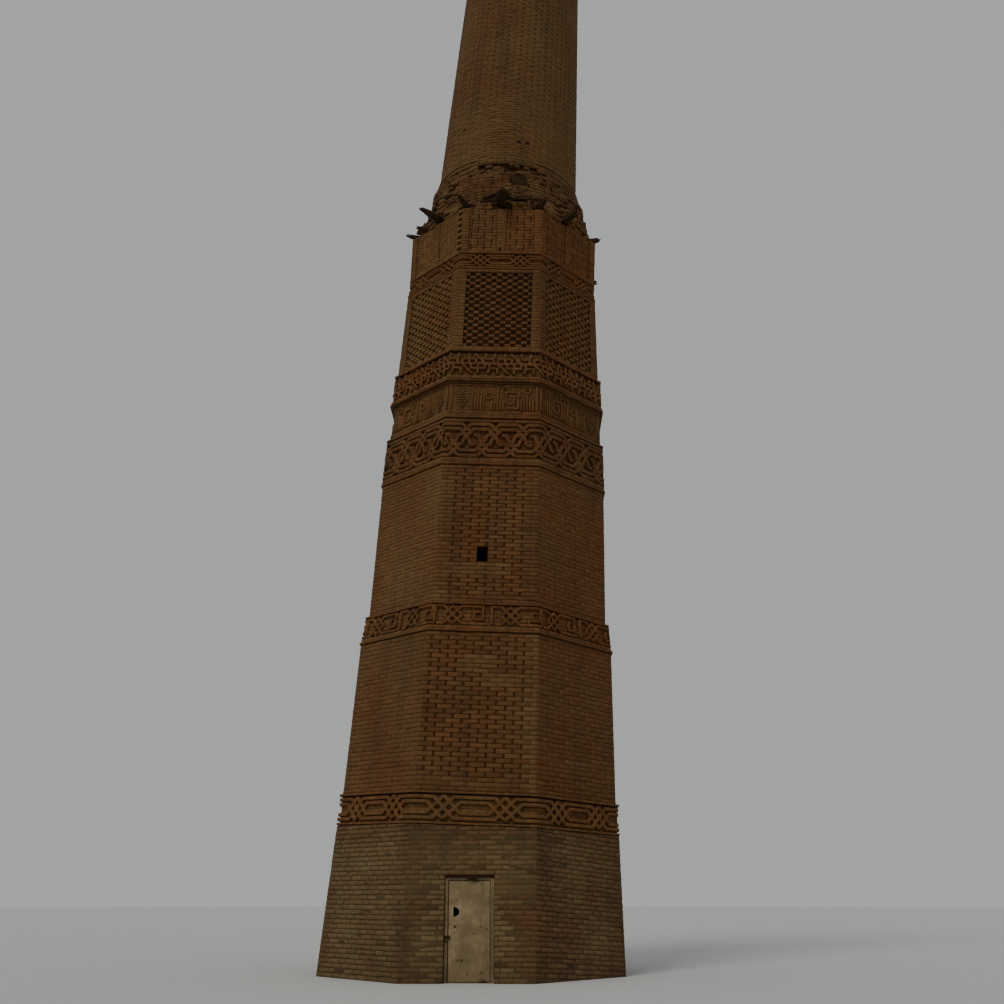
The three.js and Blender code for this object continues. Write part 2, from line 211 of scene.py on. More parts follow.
class Top(Round):
    """The shaft's top face: u runs round it, z inwards from its rim, and out upwards."""

    def place(self, points):
        u, z, out = np.moveaxis(points, -1, 0)
        return self.bent(u, self.top - z, self.head + out)


class Pile:
    """Bricks, mortar and sheets that become one mesh. A note is (tone, paleness, soot), and its soot is
    painted shade in places.
    """

    def __init__(self, seed):
        self.rng = np.random.default_rng(seed)
        self.points, self.notes, self.count = [], [], 0
        self.faces, self.kinds = {3: [], 4: []}, {3: [], 4: []}

    def add(self, points, note, *polygons, kind=BRICK):
        """Adds points with their faces: arrays of triangles or of four-sided ones."""
        points = np.asarray(points, float).reshape(-1, 3)
        for faces in map(np.asarray, polygons):
            self.faces[faces.shape[1]] += (faces + self.count).tolist()
            self.kinds[faces.shape[1]] += [kind] * len(faces)
        self.points.append(points)
        self.notes.append(np.broadcast_to(np.asarray(note, float), points.shape))
        self.count += len(points)

    def mesh(self, name, materials, lean):
        points = turned(np.concatenate(self.points), lean)
        points[:, 2] = np.maximum(points[:, 2], 0.0)
        mesh = bpy.data.meshes.new(name)
        mesh.from_pydata(points.tolist(), [], self.faces[3] + self.faces[4], shade_flat=False)
        for material in materials:
            mesh.materials.append(material)
        mesh.polygons.foreach_set("material_index", self.kinds[3] + self.kinds[4])
        notes = mesh.attributes.new("brick", "FLOAT_VECTOR", "POINT")
        notes.data.foreach_set("vector", np.concatenate(self.notes).ravel())
        mesh.validate()
        return mesh


def skin(n, rings):
    """The faces that join rings of n points, each ring to the next one behind it."""
    return [
        [at + n + i, at + n + (i + 1) % n, at + (i + 1) % n, at + i]
        for at in range(0, n * (rings - 1), n)
        for i in range(n)
    ]


# A block is a front face, a rim behind its chamfer, and a back ring
BLOCK = np.array([[0, 1, 2, 3]] + skin(4, 3))

# A chipped corner goes back by CHIP_DEPTH at most; it takes these shares of the block's shorter measure
# off the front face and off the rim
CHIP_DEPTH = 0.006
CHIP_FRONT, CHIP_RIM = 0.35, 0.16


def blocks(pile, wall, rows, deep, chamfer=0.004, wobble=0.002, chips=0.1, kind=BRICK):
    """Lays blocks on a wall. A row is left, right, foot, head, out, tone, paleness, soot (painted shade in
    places).
    """
    rows = np.asarray(rows, float)
    if not len(rows):
        return
    rng, count = pile.rng, len(rows)
    left, right, foot, head, out = rows[:, :5].T
    u = np.stack([left, right, right, left], 1) + rng.normal(0, wobble, (count, 4))
    z = np.stack([foot, foot, head, head], 1) + rng.normal(0, wobble, (count, 4))
    inward_u, inward_z = np.array([1, -1, -1, 1]), np.array([1, 1, -1, -1])
    chip = (rng.random((count, 4)) < chips / 2) * rng.uniform(0.2, 1.0, (count, 4))
    span = np.minimum(right - left, head - foot)[:, None]
    out = out[:, None]

    def ring(shrink, depth):
        return np.stack([u + inward_u * shrink, z + inward_z * shrink, depth], -1)

    bite = chamfer + chip * span * CHIP_FRONT
    back = np.broadcast_to(-np.asarray(deep, float), u.shape)
    points = wall.place(np.concatenate([
        ring(bite, out - chip * CHIP_DEPTH), ring(chip * span * CHIP_RIM, out - bite.clip(0, 0.02)),
        ring(0.0, back),
    ], 1))
    faces = BLOCK + 12 * np.arange(count)[:, None, None]
    notes = np.repeat(rows[:, None, 5:8], 12, 1).reshape(-1, 3)
    pile.add(points, notes, faces.reshape(-1, 4), kind=kind)


def slabs(pile, wall, rows, deep, chamfer=0.001, kind=JOINT):
    """Blocks with no wear: mortar, and strips of sheet."""
    blocks(pile, wall, rows, deep, chamfer, wobble=0.0, chips=0.0, kind=kind)


def clear_spans(left, right, holes, foot, head):
    """What is left of a course between left and right once the holes that it meets are taken out."""
    spans = [(left, right)]
    for hole_left, hole_right, hole_foot, hole_head in holes:
        if foot < hole_head and head > hole_foot:
            cut = [part for a, b in spans for part in ((a, min(b, hole_left)), (max(a, hole_right), b))]
            spans = [(a, b) for a, b in cut if b - a > 0.02]
    return spans


def marks_between(left, right, module, start, shortest=0.055):
    first = math.ceil((left + shortest - start) / module)
    last = math.floor((right - shortest - start) / module)
    return start + module * np.arange(first, last + 1)


def closed(u, z):
    return False


def clean(u, z):
    """No paleness and no soot."""
    return 0.0, 0.0


# Bricks and mortar are left out where less than this would show
BURIED = 0.012


def lay_courses(
    pile, wall, foot, head, rise, module, gap=0.012, holes=(), is_open=closed, slot=0.04, sunk=0.028,
    out=0.0, start=0.0, ends=None, pale=0.0, weather=clean, rough=0.003, wander=0.012, columns=None,
    limits=None, spread=1.0, mortared=True, deep=None, chips=0.12, joint_soot=0.0, raked=MORTAR, strips=1,
):
    """Courses of bricks with mortar behind them, and open rising joints where is_open(u, z) says so.

    Bricks are module long and stand out by out. slot and sunk are an open joint's width and depth.
    ends, columns and limits set where a course ends, where joints may stand, and what is buried.
    """
    rng = pile.rng
    count = max(1, round((head - foot) / rise))
    rise = (head - foot) / count
    deep = BED - out if deep is None else deep
    bricks, mortar = [], []

    def note(u, z, dirt=0.0):
        paleness, soot_and_shade = weather(u, z)
        return 0.5 + (rng.random() - 0.5) * spread, pale + paleness, soot_and_shade + dirt

    def buried(u, low, high):
        lowest, highest = limits(u) if limits else (-math.inf, math.inf)
        return low > highest - BURIED or high < lowest + BURIED

    for course in range(count):
        low, high = foot + rise * course, foot + rise * (course + 1)
        middle = (low + high) / 2
        half = wall.half(middle, out)
        left, right = ends or (-half, half)
        shift = start + module / 2 * (course % 2)
        for span in clear_spans(left, right, holes, low + 0.01, high - 0.01):
            joints = marks_between(*span, module, shift)
            if columns:
                joints = np.array([u for u in columns if span[0] + 0.04 < u < span[1] - 0.04])
            opened = np.array([is_open(u, middle) for u in joints], bool)
            if columns:
                kept = opened | ((np.arange(len(joints)) + course) % 2 == 0)
                joints, opened = joints[kept], opened[kept]
            drift = rng.uniform(-wander, wander, len(joints))
            joints = joints + np.where(opened, drift * 0.2, drift)
            width = np.where(opened, slot, gap)
            lefts = np.concatenate([[span[0]], joints + width / 2])
            rights = np.concatenate([joints - width / 2, [span[1]]])
            for u0, u1 in zip(lefts, rights):
                u = (u0 + u1) / 2
                if not buried(u, low, high):
                    face = out - abs(rng.normal(0, rough))
                    bricks.append((u0, u1, low + gap / 2, high - gap / 2, face, *note(u, middle)))
            if not mortared:
                continue
            stops = joints[opened]
            marks = np.linspace(*span, strips + 1)
            lefts = np.concatenate([marks[:-1], stops + slot / 2])
            rights = np.concatenate([stops - slot / 2, marks[1:]])
            for u0, u1 in zip(lefts, rights):
                if not buried(u0, low, high) or not buried(u1, low, high):
                    look = note((u0 + u1) / 2, middle, joint_soot)
                    mortar.append((u0, u1, low, high, out - raked, *look))
            for u in stops:
                mortar.append((u - slot / 2, u + slot / 2, low, high, out - sunk, *note(u, middle)))
    blocks(pile, wall, bricks, deep, chamfer=min(0.005, gap / 3), wobble=0.0026, chips=chips)
    slabs(pile, wall, mortar, deep, 0.0005)


# Flat shapes in relief: outlines are drawn in (along, height), cut to size and made into prisms
def strap(path, width, first=0, last=None, longest=0.23):
    """Four-sided outlines along a path, mitred where it turns; only its legs first to last are made."""
    path = np.array(path, float)
    legs = np.diff(path, axis=0)
    lengths = np.linalg.norm(legs, axis=1)
    ways = legs / lengths[:, None]
    normals = np.stack([-ways[:, 1], ways[:, 0]], 1)
    shifts = np.empty_like(path)
    shifts[0], shifts[-1] = normals[0], normals[-1]
    both = normals[:-1] + normals[1:]
    shifts[1:-1] = both / (1 + (normals[:-1] * normals[1:]).sum(1))[:, None]
    lefts, rights = path + shifts * width / 2, path - shifts * width / 2
    outlines = []
    for i in range(first, len(legs) if last is None else last):
        parts = max(1, math.ceil(lengths[i] / longest))
        right, left = rights[i + 1] - rights[i], lefts[i + 1] - lefts[i]
        for a, b in ((p / parts, (p + 1) / parts) for p in range(parts)):
            outlines.append(np.array([
                rights[i] + right * a, rights[i] + right * b, lefts[i] + left * b, lefts[i] + left * a,
            ]))
    return outlines


def between(outline, axis, low, high):
    """The part of a convex outline that lies from low to high."""
    for limit, keep in ((low, 1), (high, -1)):
        kept = []
        for p, q in zip(outline, np.roll(outline, -1, axis=0)):
            a, b = keep * (p[axis] - limit), keep * (q[axis] - limit)
            if a >= 0:
                kept.append(p)
            if (a > 0) != (b > 0) and a != b:
                kept.append(p + (q - p) * a / (a - b))
        outline = np.array(kept).reshape(-1, 2)
    return outline


def area(outline):
    x, y = outline[:, 0], outline[:, 1]
    return 0.5 * float((x * np.roll(y, -1) - y * np.roll(x, -1)).sum())


def shrunk(outline, by):
    """A convex outline with its edges moved in."""
    edges = np.roll(outline, -1, axis=0) - outline
    edges /= np.maximum(np.linalg.norm(edges, axis=1), 1e-9)[:, None]
    inward = np.stack([-edges[:, 1], edges[:, 0]], 1)
    before = np.roll(inward, 1, axis=0)
    scale = np.maximum(1 + (inward * before).sum(1), 0.3)
    return outline + (inward + before) / scale[:, None] * by


# Shapes smaller than this, in square metres, are left out
SMALLEST = 1.5e-4


def prism(pile, side, outline, low, high, note, chamfer=0.005, stretch=None):
    """A flat-topped block in relief. stretch(out) scales it along the wall at a depth."""
    outline = outline[np.linalg.norm(np.roll(outline, -1, axis=0) - outline, axis=1) > 1e-4]
    if len(outline) < 3 or area(outline) < SMALLEST:
        return
    inner = shrunk(outline, chamfer)
    if area(inner) < 0.2 * area(outline):
        inner = outline * 0.6 + outline.mean(0) * 0.4
    rings = []
    for ring, out in ((inner, high), (outline, high - chamfer), (outline, low)):
        scale = stretch(out) if stretch else 1.0
        rings.append(np.column_stack([ring[:, 0] * scale, ring[:, 1], np.full(len(ring), out)]))
    n = len(outline)
    fan = [[0, i, i + 1] for i in range(1, n - 1)]
    pile.add(side.place(np.concatenate(rings)), note, fan, skin(n, 3))


def wrap(pile, storey, width, shapes, foot, head, low, high, pale=0.0, soot_and_shade=0.0):
    """Shapes drawn along the whole perimeter are cut at its corners and laid on the eight sides."""
    rng = pile.rng
    for level, outline in shapes:
        outline = between(outline, 1, foot, head)
        if len(outline) < 3:
            continue
        first = math.floor((outline[:, 0].min() + width / 2) / width)
        last = math.floor((outline[:, 0].max() + width / 2) / width)
        note = (rng.random(), pale, soot_and_shade)
        for number in range(first, last + 1):
            edge = (number - 0.5) * width
            part = between(outline, 0, edge, edge + width)
            if len(part) < 3:
                continue
            side = Side(number % SIDES, storey)
            part = part - [number * width, 0.0]
            middle = part[:, 1].mean()
            top = high + level * 0.004 - abs(rng.normal(0, 0.0015))

            def stretch(out):
                return side.half(middle, out) / (width / 2)

            prism(pile, side, part, low, top, note, stretch=stretch)


# A pattern is a list of (path, first leg, last leg)
def whole(*paths):
    return [(path, 0, None) for path in paths]


def redrawn(pattern, change):
    """A pattern with change(x, z) made to its points."""
    return [([change(x, z) for x, z in path], first, last) for path, first, last in pattern]


def moved(pattern, x, z, width, level):
    pattern = redrawn(pattern, lambda px, pz: (x + px, z + pz))
    return [(level, outline) for path, *ends in pattern for outline in strap(path, width, *ends)]


def knot_band(width, z, a, inner, outer, strap_width):
    """Lattice knots joined by straps that open into long hexagons; two knots to a side."""
    pitch = width / 2
    wide = 2 * a + inner
    through = [
        (outer - pitch, -outer), (-outer, -outer), (outer, outer), (pitch - outer, outer),
        (pitch + outer, -outer),
    ]
    around = [
        (wide - pitch, inner), (-wide, inner), (0, -2 * a), (wide, inner), (pitch - wide, inner),
        (pitch, -2 * a),
    ]
    shapes = []
    for i in range(2 * SIDES):
        for level, pattern in ((1, [(through, 1, 3)]), (0, [(around, 1, 4)])):
            pattern = pattern + redrawn(pattern, lambda px, pz: (px, -pz))
            shapes += moved(pattern, pitch / 2 + pitch * i, z, strap_width, level)
    return shapes


def fret_band(width, z):
    """Lattice knots held in square frames, with a square key between them."""
    k = 0.178
    knot = whole([(-k, 0.0), (0.0, -k), (k, 0.0), (0.0, k), (-k, 0.0)])
    key = [
        (-0.30, -k), (-k, -k), (k, k), (0.59, k), (0.59, -0.085), (0.42, -0.085), (0.42, 0.07),
        (0.515, 0.07),
    ]
    shapes = []
    for number in range(SIDES):
        for x, reach in ((-0.60, 0.35), (0.53, 0.37)):
            x += width * number
            held = whole([(-reach, -k), (-reach, k), (-k, k), (k, -k), (0.65, -k)], key)
            shapes += moved(knot, x, z, 0.048, 0) + moved(held, x, z, 0.048, 1)
    return shapes


def two_rows(width, z, module, start, upper, turn, strap_width):
    """A row of bays, and over it the same row turned upside down about half of turn."""
    bays = round(SIDES * width / module)
    pitch = SIDES * width / bays
    lower = redrawn(upper, lambda px, pz: (turn[0] - px, turn[1] - pz))
    shapes = []
    for i in range(bays):
        for level, row in enumerate((upper, lower)):
            fitted = redrawn(row, lambda px, pz: (px * (pitch / module), pz))
            shapes += moved(fitted, start + pitch * i, z, strap_width, level)
    return shapes


def arcade_band(width, z):
    """Interlaced arcades."""
    down = [
        (-0.5, 0.385), (-0.10, 0.385), (0.085, 0.20), (0.0, 0.115), (-0.06, 0.01), (-0.10, -0.09),
        (-0.19, -0.09),
    ]
    upper = [(down, 1, 6)] + whole(
        [(-x, h) for x, h in down], [(0.085, 0.20), (0.13, 0.27), (0.47, 0.27), (0.515, 0.20)]
    )
    return two_rows(width, z, 0.6, 0.06, upper, (0.345, 0.04), 0.072)


def diagonal_band(width, z):
    """Long diagonal straps between square loops."""
    upper = whole(
        [(0.0, 0.25), (0.235, -0.005), (0.485, -0.005)],
        [(0.235, 0.26), (0.235, 0.115), (0.40, 0.115)],
        [(0.435, 0.25), (0.40, 0.115), (0.40, 0.0)],
        [(0.50, 0.0), (0.50, 0.115), (0.79, 0.115), (0.79, 0.0)],
        [(0.645, 0.0), (0.645, 0.25)],
        [(0.50, -0.005), (0.79, -0.005)],
    )
    return two_rows(width, z, 0.76, -0.45, upper, (0.72, 0.0), 0.052)


# Materials
class Graph:
    """A material's nodes."""

    def __init__(self, name, specular=0.25):
        self.material = bpy.data.materials.new(name)
        self.material.use_nodes = True
        self.tree = self.material.node_tree
        self.shader = self.tree.nodes["Principled BSDF"]
        self.put(self.shader, {"Specular IOR Level": specular})
        self.place = self.node("TexCoord").outputs["Object"]

    def put(self, node, values):
        """Fills a node's inputs; values is {input: number, colour or socket}."""
        for key, value in values.items():
            if isinstance(value, bpy.types.NodeSocket):
                self.tree.links.new(value, node.inputs[key])
            else:
                colour = node.inputs[key].type == "RGBA"
                node.inputs[key].default_value = (*value, 1.0) if colour else value

    def node(self, kind, values=(), **settings):
        made = self.tree.nodes.new("ShaderNode" + kind)
        for key, value in settings.items():
            setattr(made, key, value)
        self.put(made, dict(values))
        return made

    def scaled(self, *scale):
        return self.node("Mapping", {"Vector": self.place, "Scale": scale}).outputs[0]

    def split(self, vector):
        return self.node("SeparateXYZ", {0: vector}).outputs[:3]

    def note(self):
        """Each brick's tone, paleness and soot."""
        return self.split(self.node("Attribute", attribute_name="brick").outputs["Vector"])

    def noise(self, scale, detail, rough=0.6, where=None, distortion=0.0):
        return self.node("TexNoise", {
            "Vector": where or self.place, "Scale": scale, "Detail": detail, "Roughness": rough,
            "Distortion": distortion,
        }).outputs["Fac"]

    def courses(self, where, one, other, mortar, smooth, wide, high):
        return self.node("TexBrick", {
            "Vector": where, "Color1": one, "Color2": other, "Mortar": mortar, "Scale": 1.0,
            "Mortar Size": 0.008, "Mortar Smooth": smooth, "Brick Width": wide, "Row Height": high,
        }).outputs

    def ramp(self, value, places, *colours):
        made = self.node("ValToRGB", {"Fac": value})
        elements = made.color_ramp.elements
        while len(elements) < len(colours):
            elements.new(0.5)
        for element, place, colour in zip(elements, places, colours):
            element.position = place
            element.color = (*colour, 1.0)
        return made.outputs["Color"]

    def band(self, value, low, high, to_low=0.0, to_high=1.0):
        return self.node("MapRange", {
            "Value": value, "From Min": low, "From Max": high, "To Min": to_low, "To Max": to_high,
        }).outputs["Result"]

    def math(self, operation, a, b=0.0):
        return self.node("Math", {0: a, 1: b}, operation=operation).outputs[0]

    def times(self, a, b):
        return self.math("MULTIPLY", a, b)

    def total(self, *parts):
        """The sum of values, each times its weight."""
        total = self.times(*parts[0])
        for part in parts[1:]:
            total = self.math("ADD", total, self.times(*part))
        return total

    def ragged(self, value, texture, by):
        """A value made uneven by a texture."""
        return self.math("ADD", value, self.times(self.math("SUBTRACT", texture, 0.5), by))

    def mix(self, share, a, b, blend="MIX"):
        return self.node("Mix", {0: share, 6: a, 7: b}, data_type="RGBA", blend_type=blend).outputs[2]

    def finish(self, colour, roughness, height=None, depth=0.003, strength=0.6):
        self.put(self.shader, {"Base Color": colour, "Roughness": roughness})
        if height is not None:
            bump = self.node("Bump", {"Strength": strength, "Distance": depth, "Height": height})
            self.put(self.shader, {"Normal": bump.outputs[0]})
        return self.material


def masonry(name, dark, middle, light, buff, fine=70.0, depth=0.004):
    """Weathered brick or mortar: each brick's own tone, mottling, streaks, lime and soot, the soot also
    serving as painted shade.
    """
    g = Graph(name, specular=0.15)
    tone, pale, soot_and_shade = g.note()
    grain, blotch, broad = g.noise(fine, 5.0, 0.65), g.noise(9.0, 4.0), g.noise(0.75, 3.0, 0.5)
    colour = g.ramp(tone, (0.0, 0.5, 1.0), dark, middle, light)
    red = g.mix(1.0, colour, (1.08, 0.89, 0.83), "MULTIPLY")
    colour = g.mix(g.band(broad, 0.38, 0.62), colour, red)
    colour = g.mix(pale, colour, buff)
    streak = g.noise(2.6, 4.0, where=g.scaled(1.0, 1.0, 0.16))
    colour = g.mix(g.band(streak, 0.48, 0.74, 0.0, 0.45), colour, (0.055, 0.034, 0.02))
    colour = g.mix(g.band(blotch, 0.52, 0.72, 0.0, 0.30), colour, buff)
    colour = g.mix(1.0, colour, g.band(grain, 0.25, 0.75, 0.78, 1.2), "MULTIPLY")
    # Darkened by the note's soot, which is real soot on some pieces and painted shade on others
    colour = g.mix(soot_and_shade, colour, (0.02, 0.014, 0.01))
    cells = g.node("TexVoronoi", {"Vector": g.place, "Scale": fine * 0.6}).outputs["Distance"]
    height = g.total((grain, 0.7), (g.band(cells, 0.0, 0.35), 0.25), (blotch, 1.2))
    return g.finish(colour, g.band(grain, 0.3, 0.7, 0.86, 0.97), height, depth, 0.7)


def inner_masonry():
    """The well's and the passage's unseen brickwork, drawn as courses round the axis, darker inside."""
    g = Graph("inner_brick")
    x, y, z = g.split(g.place)
    along = g.total((g.math("ARCTAN2", y, x), 1.45), (y, 0.5))
    grid = g.node("CombineXYZ", {0: along, 1: z}).outputs[0]
    colours = (0.15, 0.088, 0.045), (0.10, 0.06, 0.03), (0.07, 0.048, 0.028)
    courses = g.courses(grid, *colours, smooth=0.4, wide=0.26, high=0.083)
    grain = g.noise(60.0, 5.0)
    colour = g.mix(g.band(grain, 0.3, 0.7, 0.0, 0.5), courses["Color"], (0.17, 0.11, 0.062))
    colour = g.mix(g.band(z, 2.6, 3.2, 0.0, 0.88), colour, (0.010, 0.007, 0.004))
    return g.finish(colour, 0.93, g.total((courses["Fac"], -1.0), (grain, 0.4)), 0.008, 0.8)


def weathered_timber():
    g = Graph("weathered_timber", specular=0.05)
    tone, pale, _ = g.note()
    fibre = g.noise(9.0, 6.0, 0.75, g.scaled(9.0, 9.0, 9.0), 0.4)
    colours = (0.025, 0.015, 0.007), (0.056, 0.037, 0.020), (0.105, 0.074, 0.044)
    colour = g.ramp(fibre, (0.3, 0.55, 0.75), *colours)
    colour = g.mix(g.times(tone, 0.6), colour, (0.042, 0.024, 0.010))
    colour = g.mix(pale, colour, (0.125, 0.074, 0.034))
    return g.finish(colour, 0.88, g.total((fibre, 1.0), (g.noise(26.0, 5.0, 0.7), 0.5)), 0.006, 0.8)


# Rust on the door: (x, z, radius) of each spot, in metres on the door's front
RUST_SPOTS = [
    (-0.215, 0.90, 0.030), (-0.225, 0.81, 0.018), (0.245, 0.90, 0.016), (0.34, 0.86, 0.020),
    (0.115, 0.79, 0.014), (-0.155, 0.36, 0.022), (-0.085, 0.355, 0.024), (0.325, 0.49, 0.020),
    (0.265, 0.16, 0.028), (0.015, 0.14, 0.020), (0.28, -0.02, 0.10), (-0.19, 1.33, 0.016),
]

# A scorched place at the door's head, and the hand hole with clean paint round it
SCORCH = (0.09, 1.69)
HAND_HOLE = (-0.20, 1.14)


def painted_steel(name, shade):
    """Cream paint on sheet steel: chalky, dirty towards the foot, rusted in spots and along edges, and
    darkened at its top by painted shadow under the lintel.
    """
    g = Graph(name, specular=0.4)
    x, y, z = g.split(g.place)

    def squared(at_x, at_z, tall=1.0):
        """Squared distance from a place on the door's front."""
        dx, dz = g.math("SUBTRACT", x, at_x), g.math("SUBTRACT", z, at_z)
        return g.math("ADD", g.times(dx, dx), g.times(g.times(dz, dz), tall))

    grain, cloud = g.noise(55.0, 4.0), g.noise(3.2, 5.0)
    paint = (0.165, 0.112, 0.050), (0.235, 0.167, 0.082), (0.33, 0.25, 0.14)
    colour = g.ramp(cloud, (0.35, 0.52, 0.68), *paint)
    runs = g.noise(7.0, 4.0, where=g.scaled(4.0, 1.0, 0.35))
    colour = g.mix(g.band(runs, 0.5, 0.75, 0.0, 0.4), colour, (0.15, 0.098, 0.05))
    foot = g.times(g.band(z, 0.55, 0.0), g.band(grain, 0.35, 0.6))
    colour = g.mix(g.times(foot, 0.55), colour, (0.12, 0.078, 0.044))
    rust = g.times(g.band(g.noise(30.0, 4.0, 0.65), 0.63, 0.68), 0.8)
    for spot_x, spot_z, radius in RUST_SPOTS:
        spot = g.ragged(g.math("SQRT", squared(spot_x, spot_z)), grain, radius * 2.4)
        rust = g.math("MAXIMUM", rust, g.band(spot, radius, radius * 0.55))
    colour = g.mix(rust, colour, g.mix(grain, (0.032, 0.018, 0.009), (0.105, 0.056, 0.024)))
    scorch = g.ragged(squared(*SCORCH, tall=3.0), g.noise(21.0, 5.0, 0.75), 0.11)
    burnt = g.band(scorch, 0.024, 0.002, 0.0, 0.95)
    colour = g.mix(burnt, colour, (0.010, 0.005, 0.003))
    halo = g.ragged(g.math("SQRT", squared(*HAND_HOLE)), grain, 0.05)
    colour = g.mix(g.band(halo, 0.15, 0.08, 0.0, 0.4), colour, (0.31, 0.25, 0.15))
    colour = g.mix(1.0, colour, (shade, shade, shade * 0.92), "MULTIPLY")
    # Painted shadow: the frame's head darkens above 1.655 m, under the lintel
    colour = g.mix(g.band(z, 1.655, 1.69, 0.0, 0.55), colour, (0.022, 0.013, 0.005))
    g.put(g.shader, {"Specular IOR Level": g.band(burnt, 0.0, 1.0, 0.4, 0.02)})
    roughness = g.band(g.math("MAXIMUM", rust, burnt), 0.0, 1.0, 0.48, 0.95)
    return g.finish(colour, roughness, g.total((grain, 0.3), (rust, -0.6)), 0.0015)


def bare_steel():
    g = Graph("bare_steel", specular=0.12)
    grain, patch = g.noise(90.0, 5.0, 0.65), g.noise(22.0, 3.0)
    colours = (0.10, 0.062, 0.030), (0.026, 0.014, 0.007), (0.060, 0.027, 0.011)
    colour = g.ramp(patch, (0.38, 0.5, 0.7), *colours)
    return g.finish(colour, g.band(grain, 0.3, 0.7, 0.7, 0.95), grain, 0.0012)


def floor_brick():
    g = Graph("floor_brick")
    colours = (0.17, 0.115, 0.066), (0.13, 0.085, 0.05), (0.10, 0.075, 0.05)
    courses = g.courses(g.place, *colours, smooth=0.3, wide=0.25, high=0.125)
    grain = g.noise(40.0, 5.0)
    colour = g.mix(g.band(grain, 0.35, 0.65, 0.0, 0.6), courses["Color"], (0.21, 0.16, 0.105))
    return g.finish(colour, 0.95, grain)


def stage_floor():
    g = Graph("studio_floor")
    colour = g.ramp(g.noise(6.0, 3.0, 0.55), (0.3, 0.7), (0.56, 0.56, 0.55), (0.60, 0.60, 0.59))
    return g.finish(colour, 0.9)


# Each kind's dark, middle and light bricks, and its buff ones
RED = (0.110, 0.050, 0.017), (0.135, 0.062, 0.021), (0.162, 0.078, 0.028), (0.20, 0.136, 0.052)
RED_JOINTS = (0.070, 0.034, 0.012), (0.082, 0.042, 0.015), (0.096, 0.052, 0.020), (0.14, 0.090, 0.038)
YELLOW = (0.094, 0.055, 0.025), (0.120, 0.070, 0.032), (0.148, 0.088, 0.042), (0.176, 0.126, 0.055)
YELLOW_JOINTS = (0.060, 0.036, 0.016), (0.074, 0.045, 0.020), (0.088, 0.056, 0.026), (0.125, 0.088, 0.040)

BRICKS = masonry("brick", *RED)
JOINTS = masonry("mortar", *RED_JOINTS, 45.0, 0.006)
BASE_BRICKS = masonry("pale_brick", *YELLOW)
BASE_JOINTS = masonry("base_mortar", *YELLOW_JOINTS, 45.0, 0.008)
INNER = inner_masonry()
WOOD = weathered_timber()
PAINT = painted_steel("cream_paint", 1.0)
FRAME_PAINT = painted_steel("cream_paint_frame", 0.86)
STEEL = bare_steel()
PAVING = floor_brick()


def placed(name, data):
    made = bpy.data.objects.new(name, data)
    bpy.context.scene.collection.objects.link(made)
    return made


def show(pile, name, slot, *replaced, materials=(BRICKS, JOINTS, INNER), lean=LEAN, body="tower"):
    piece = placed(name, pile.mesh(name, materials, lean))
    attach(piece, body)
    if replaced:
        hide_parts(*replaced)


def named(start):
    return [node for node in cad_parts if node.startswith(start)]


def node_shape(node):
    """A CAD solid's corners, stood upright about the tower's axis, and its triangles."""
    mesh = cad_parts[node].data
    points = turned(np.array([v.co for v in mesh.vertices], float), -LEAN)
    mesh.calc_loop_triangles()
    return points, np.array([t.vertices for t in mesh.loop_triangles], int)


# The well's radius at the ground, and what it loses with each metre of height. What lies nearer to it
# than its lining belongs to the inside.
WELL, WELL_TAPER = 1.5, 0.0245
WELL_LINING = 0.25

# Points beyond this share of the angle from a side's middle are at its corner
AT_CORNER = 0.93


def bed(pile, node, inset=BED, kind=JOINT, note=(0.4, 0.0, 0.0), shape="octagon"):
    """The mass of a node's masonry, a copy of its solid with the outside drawn in."""
    points, faces = node_shape(node)
    outer = np.hypot(points[:, 0], points[:, 1]) > WELL - WELL_TAPER * points[:, 2] + WELL_LINING
    if shape == "shaft":
        points = turned(points - SHAFT_FOOT, -SHAFT_LEAN)
        points[:, 2] = np.minimum(points[:, 2], SHAFT[1] - TOP_BED)
    radius = np.hypot(points[:, 0], points[:, 1])
    angle = facing = np.arctan2(points[:, 1], points[:, 0])
    if shape == "octagon":
        facing = 2 * CORNER * np.round((angle + math.pi / 2) / (2 * CORNER)) - math.pi / 2
    off = angle - facing
    away, along = radius * np.cos(off), radius * np.sin(off)
    drawn = np.where(outer, away - inset, away)
    along = np.where(outer & (np.abs(off) > CORNER * AT_CORNER), along * drawn / away, along)
    points = polar(drawn, facing, points[:, 2]) + polar(along, facing + math.pi / 2, 0 * along)
    if shape == "shaft":
        points = on_shaft(points)
    inside = ~outer[faces].any(1)
    pile.add(points, note, faces[~inside], kind=kind)
    if inside.any():
        pile.add(points, note, faces[inside], kind=INSIDE)


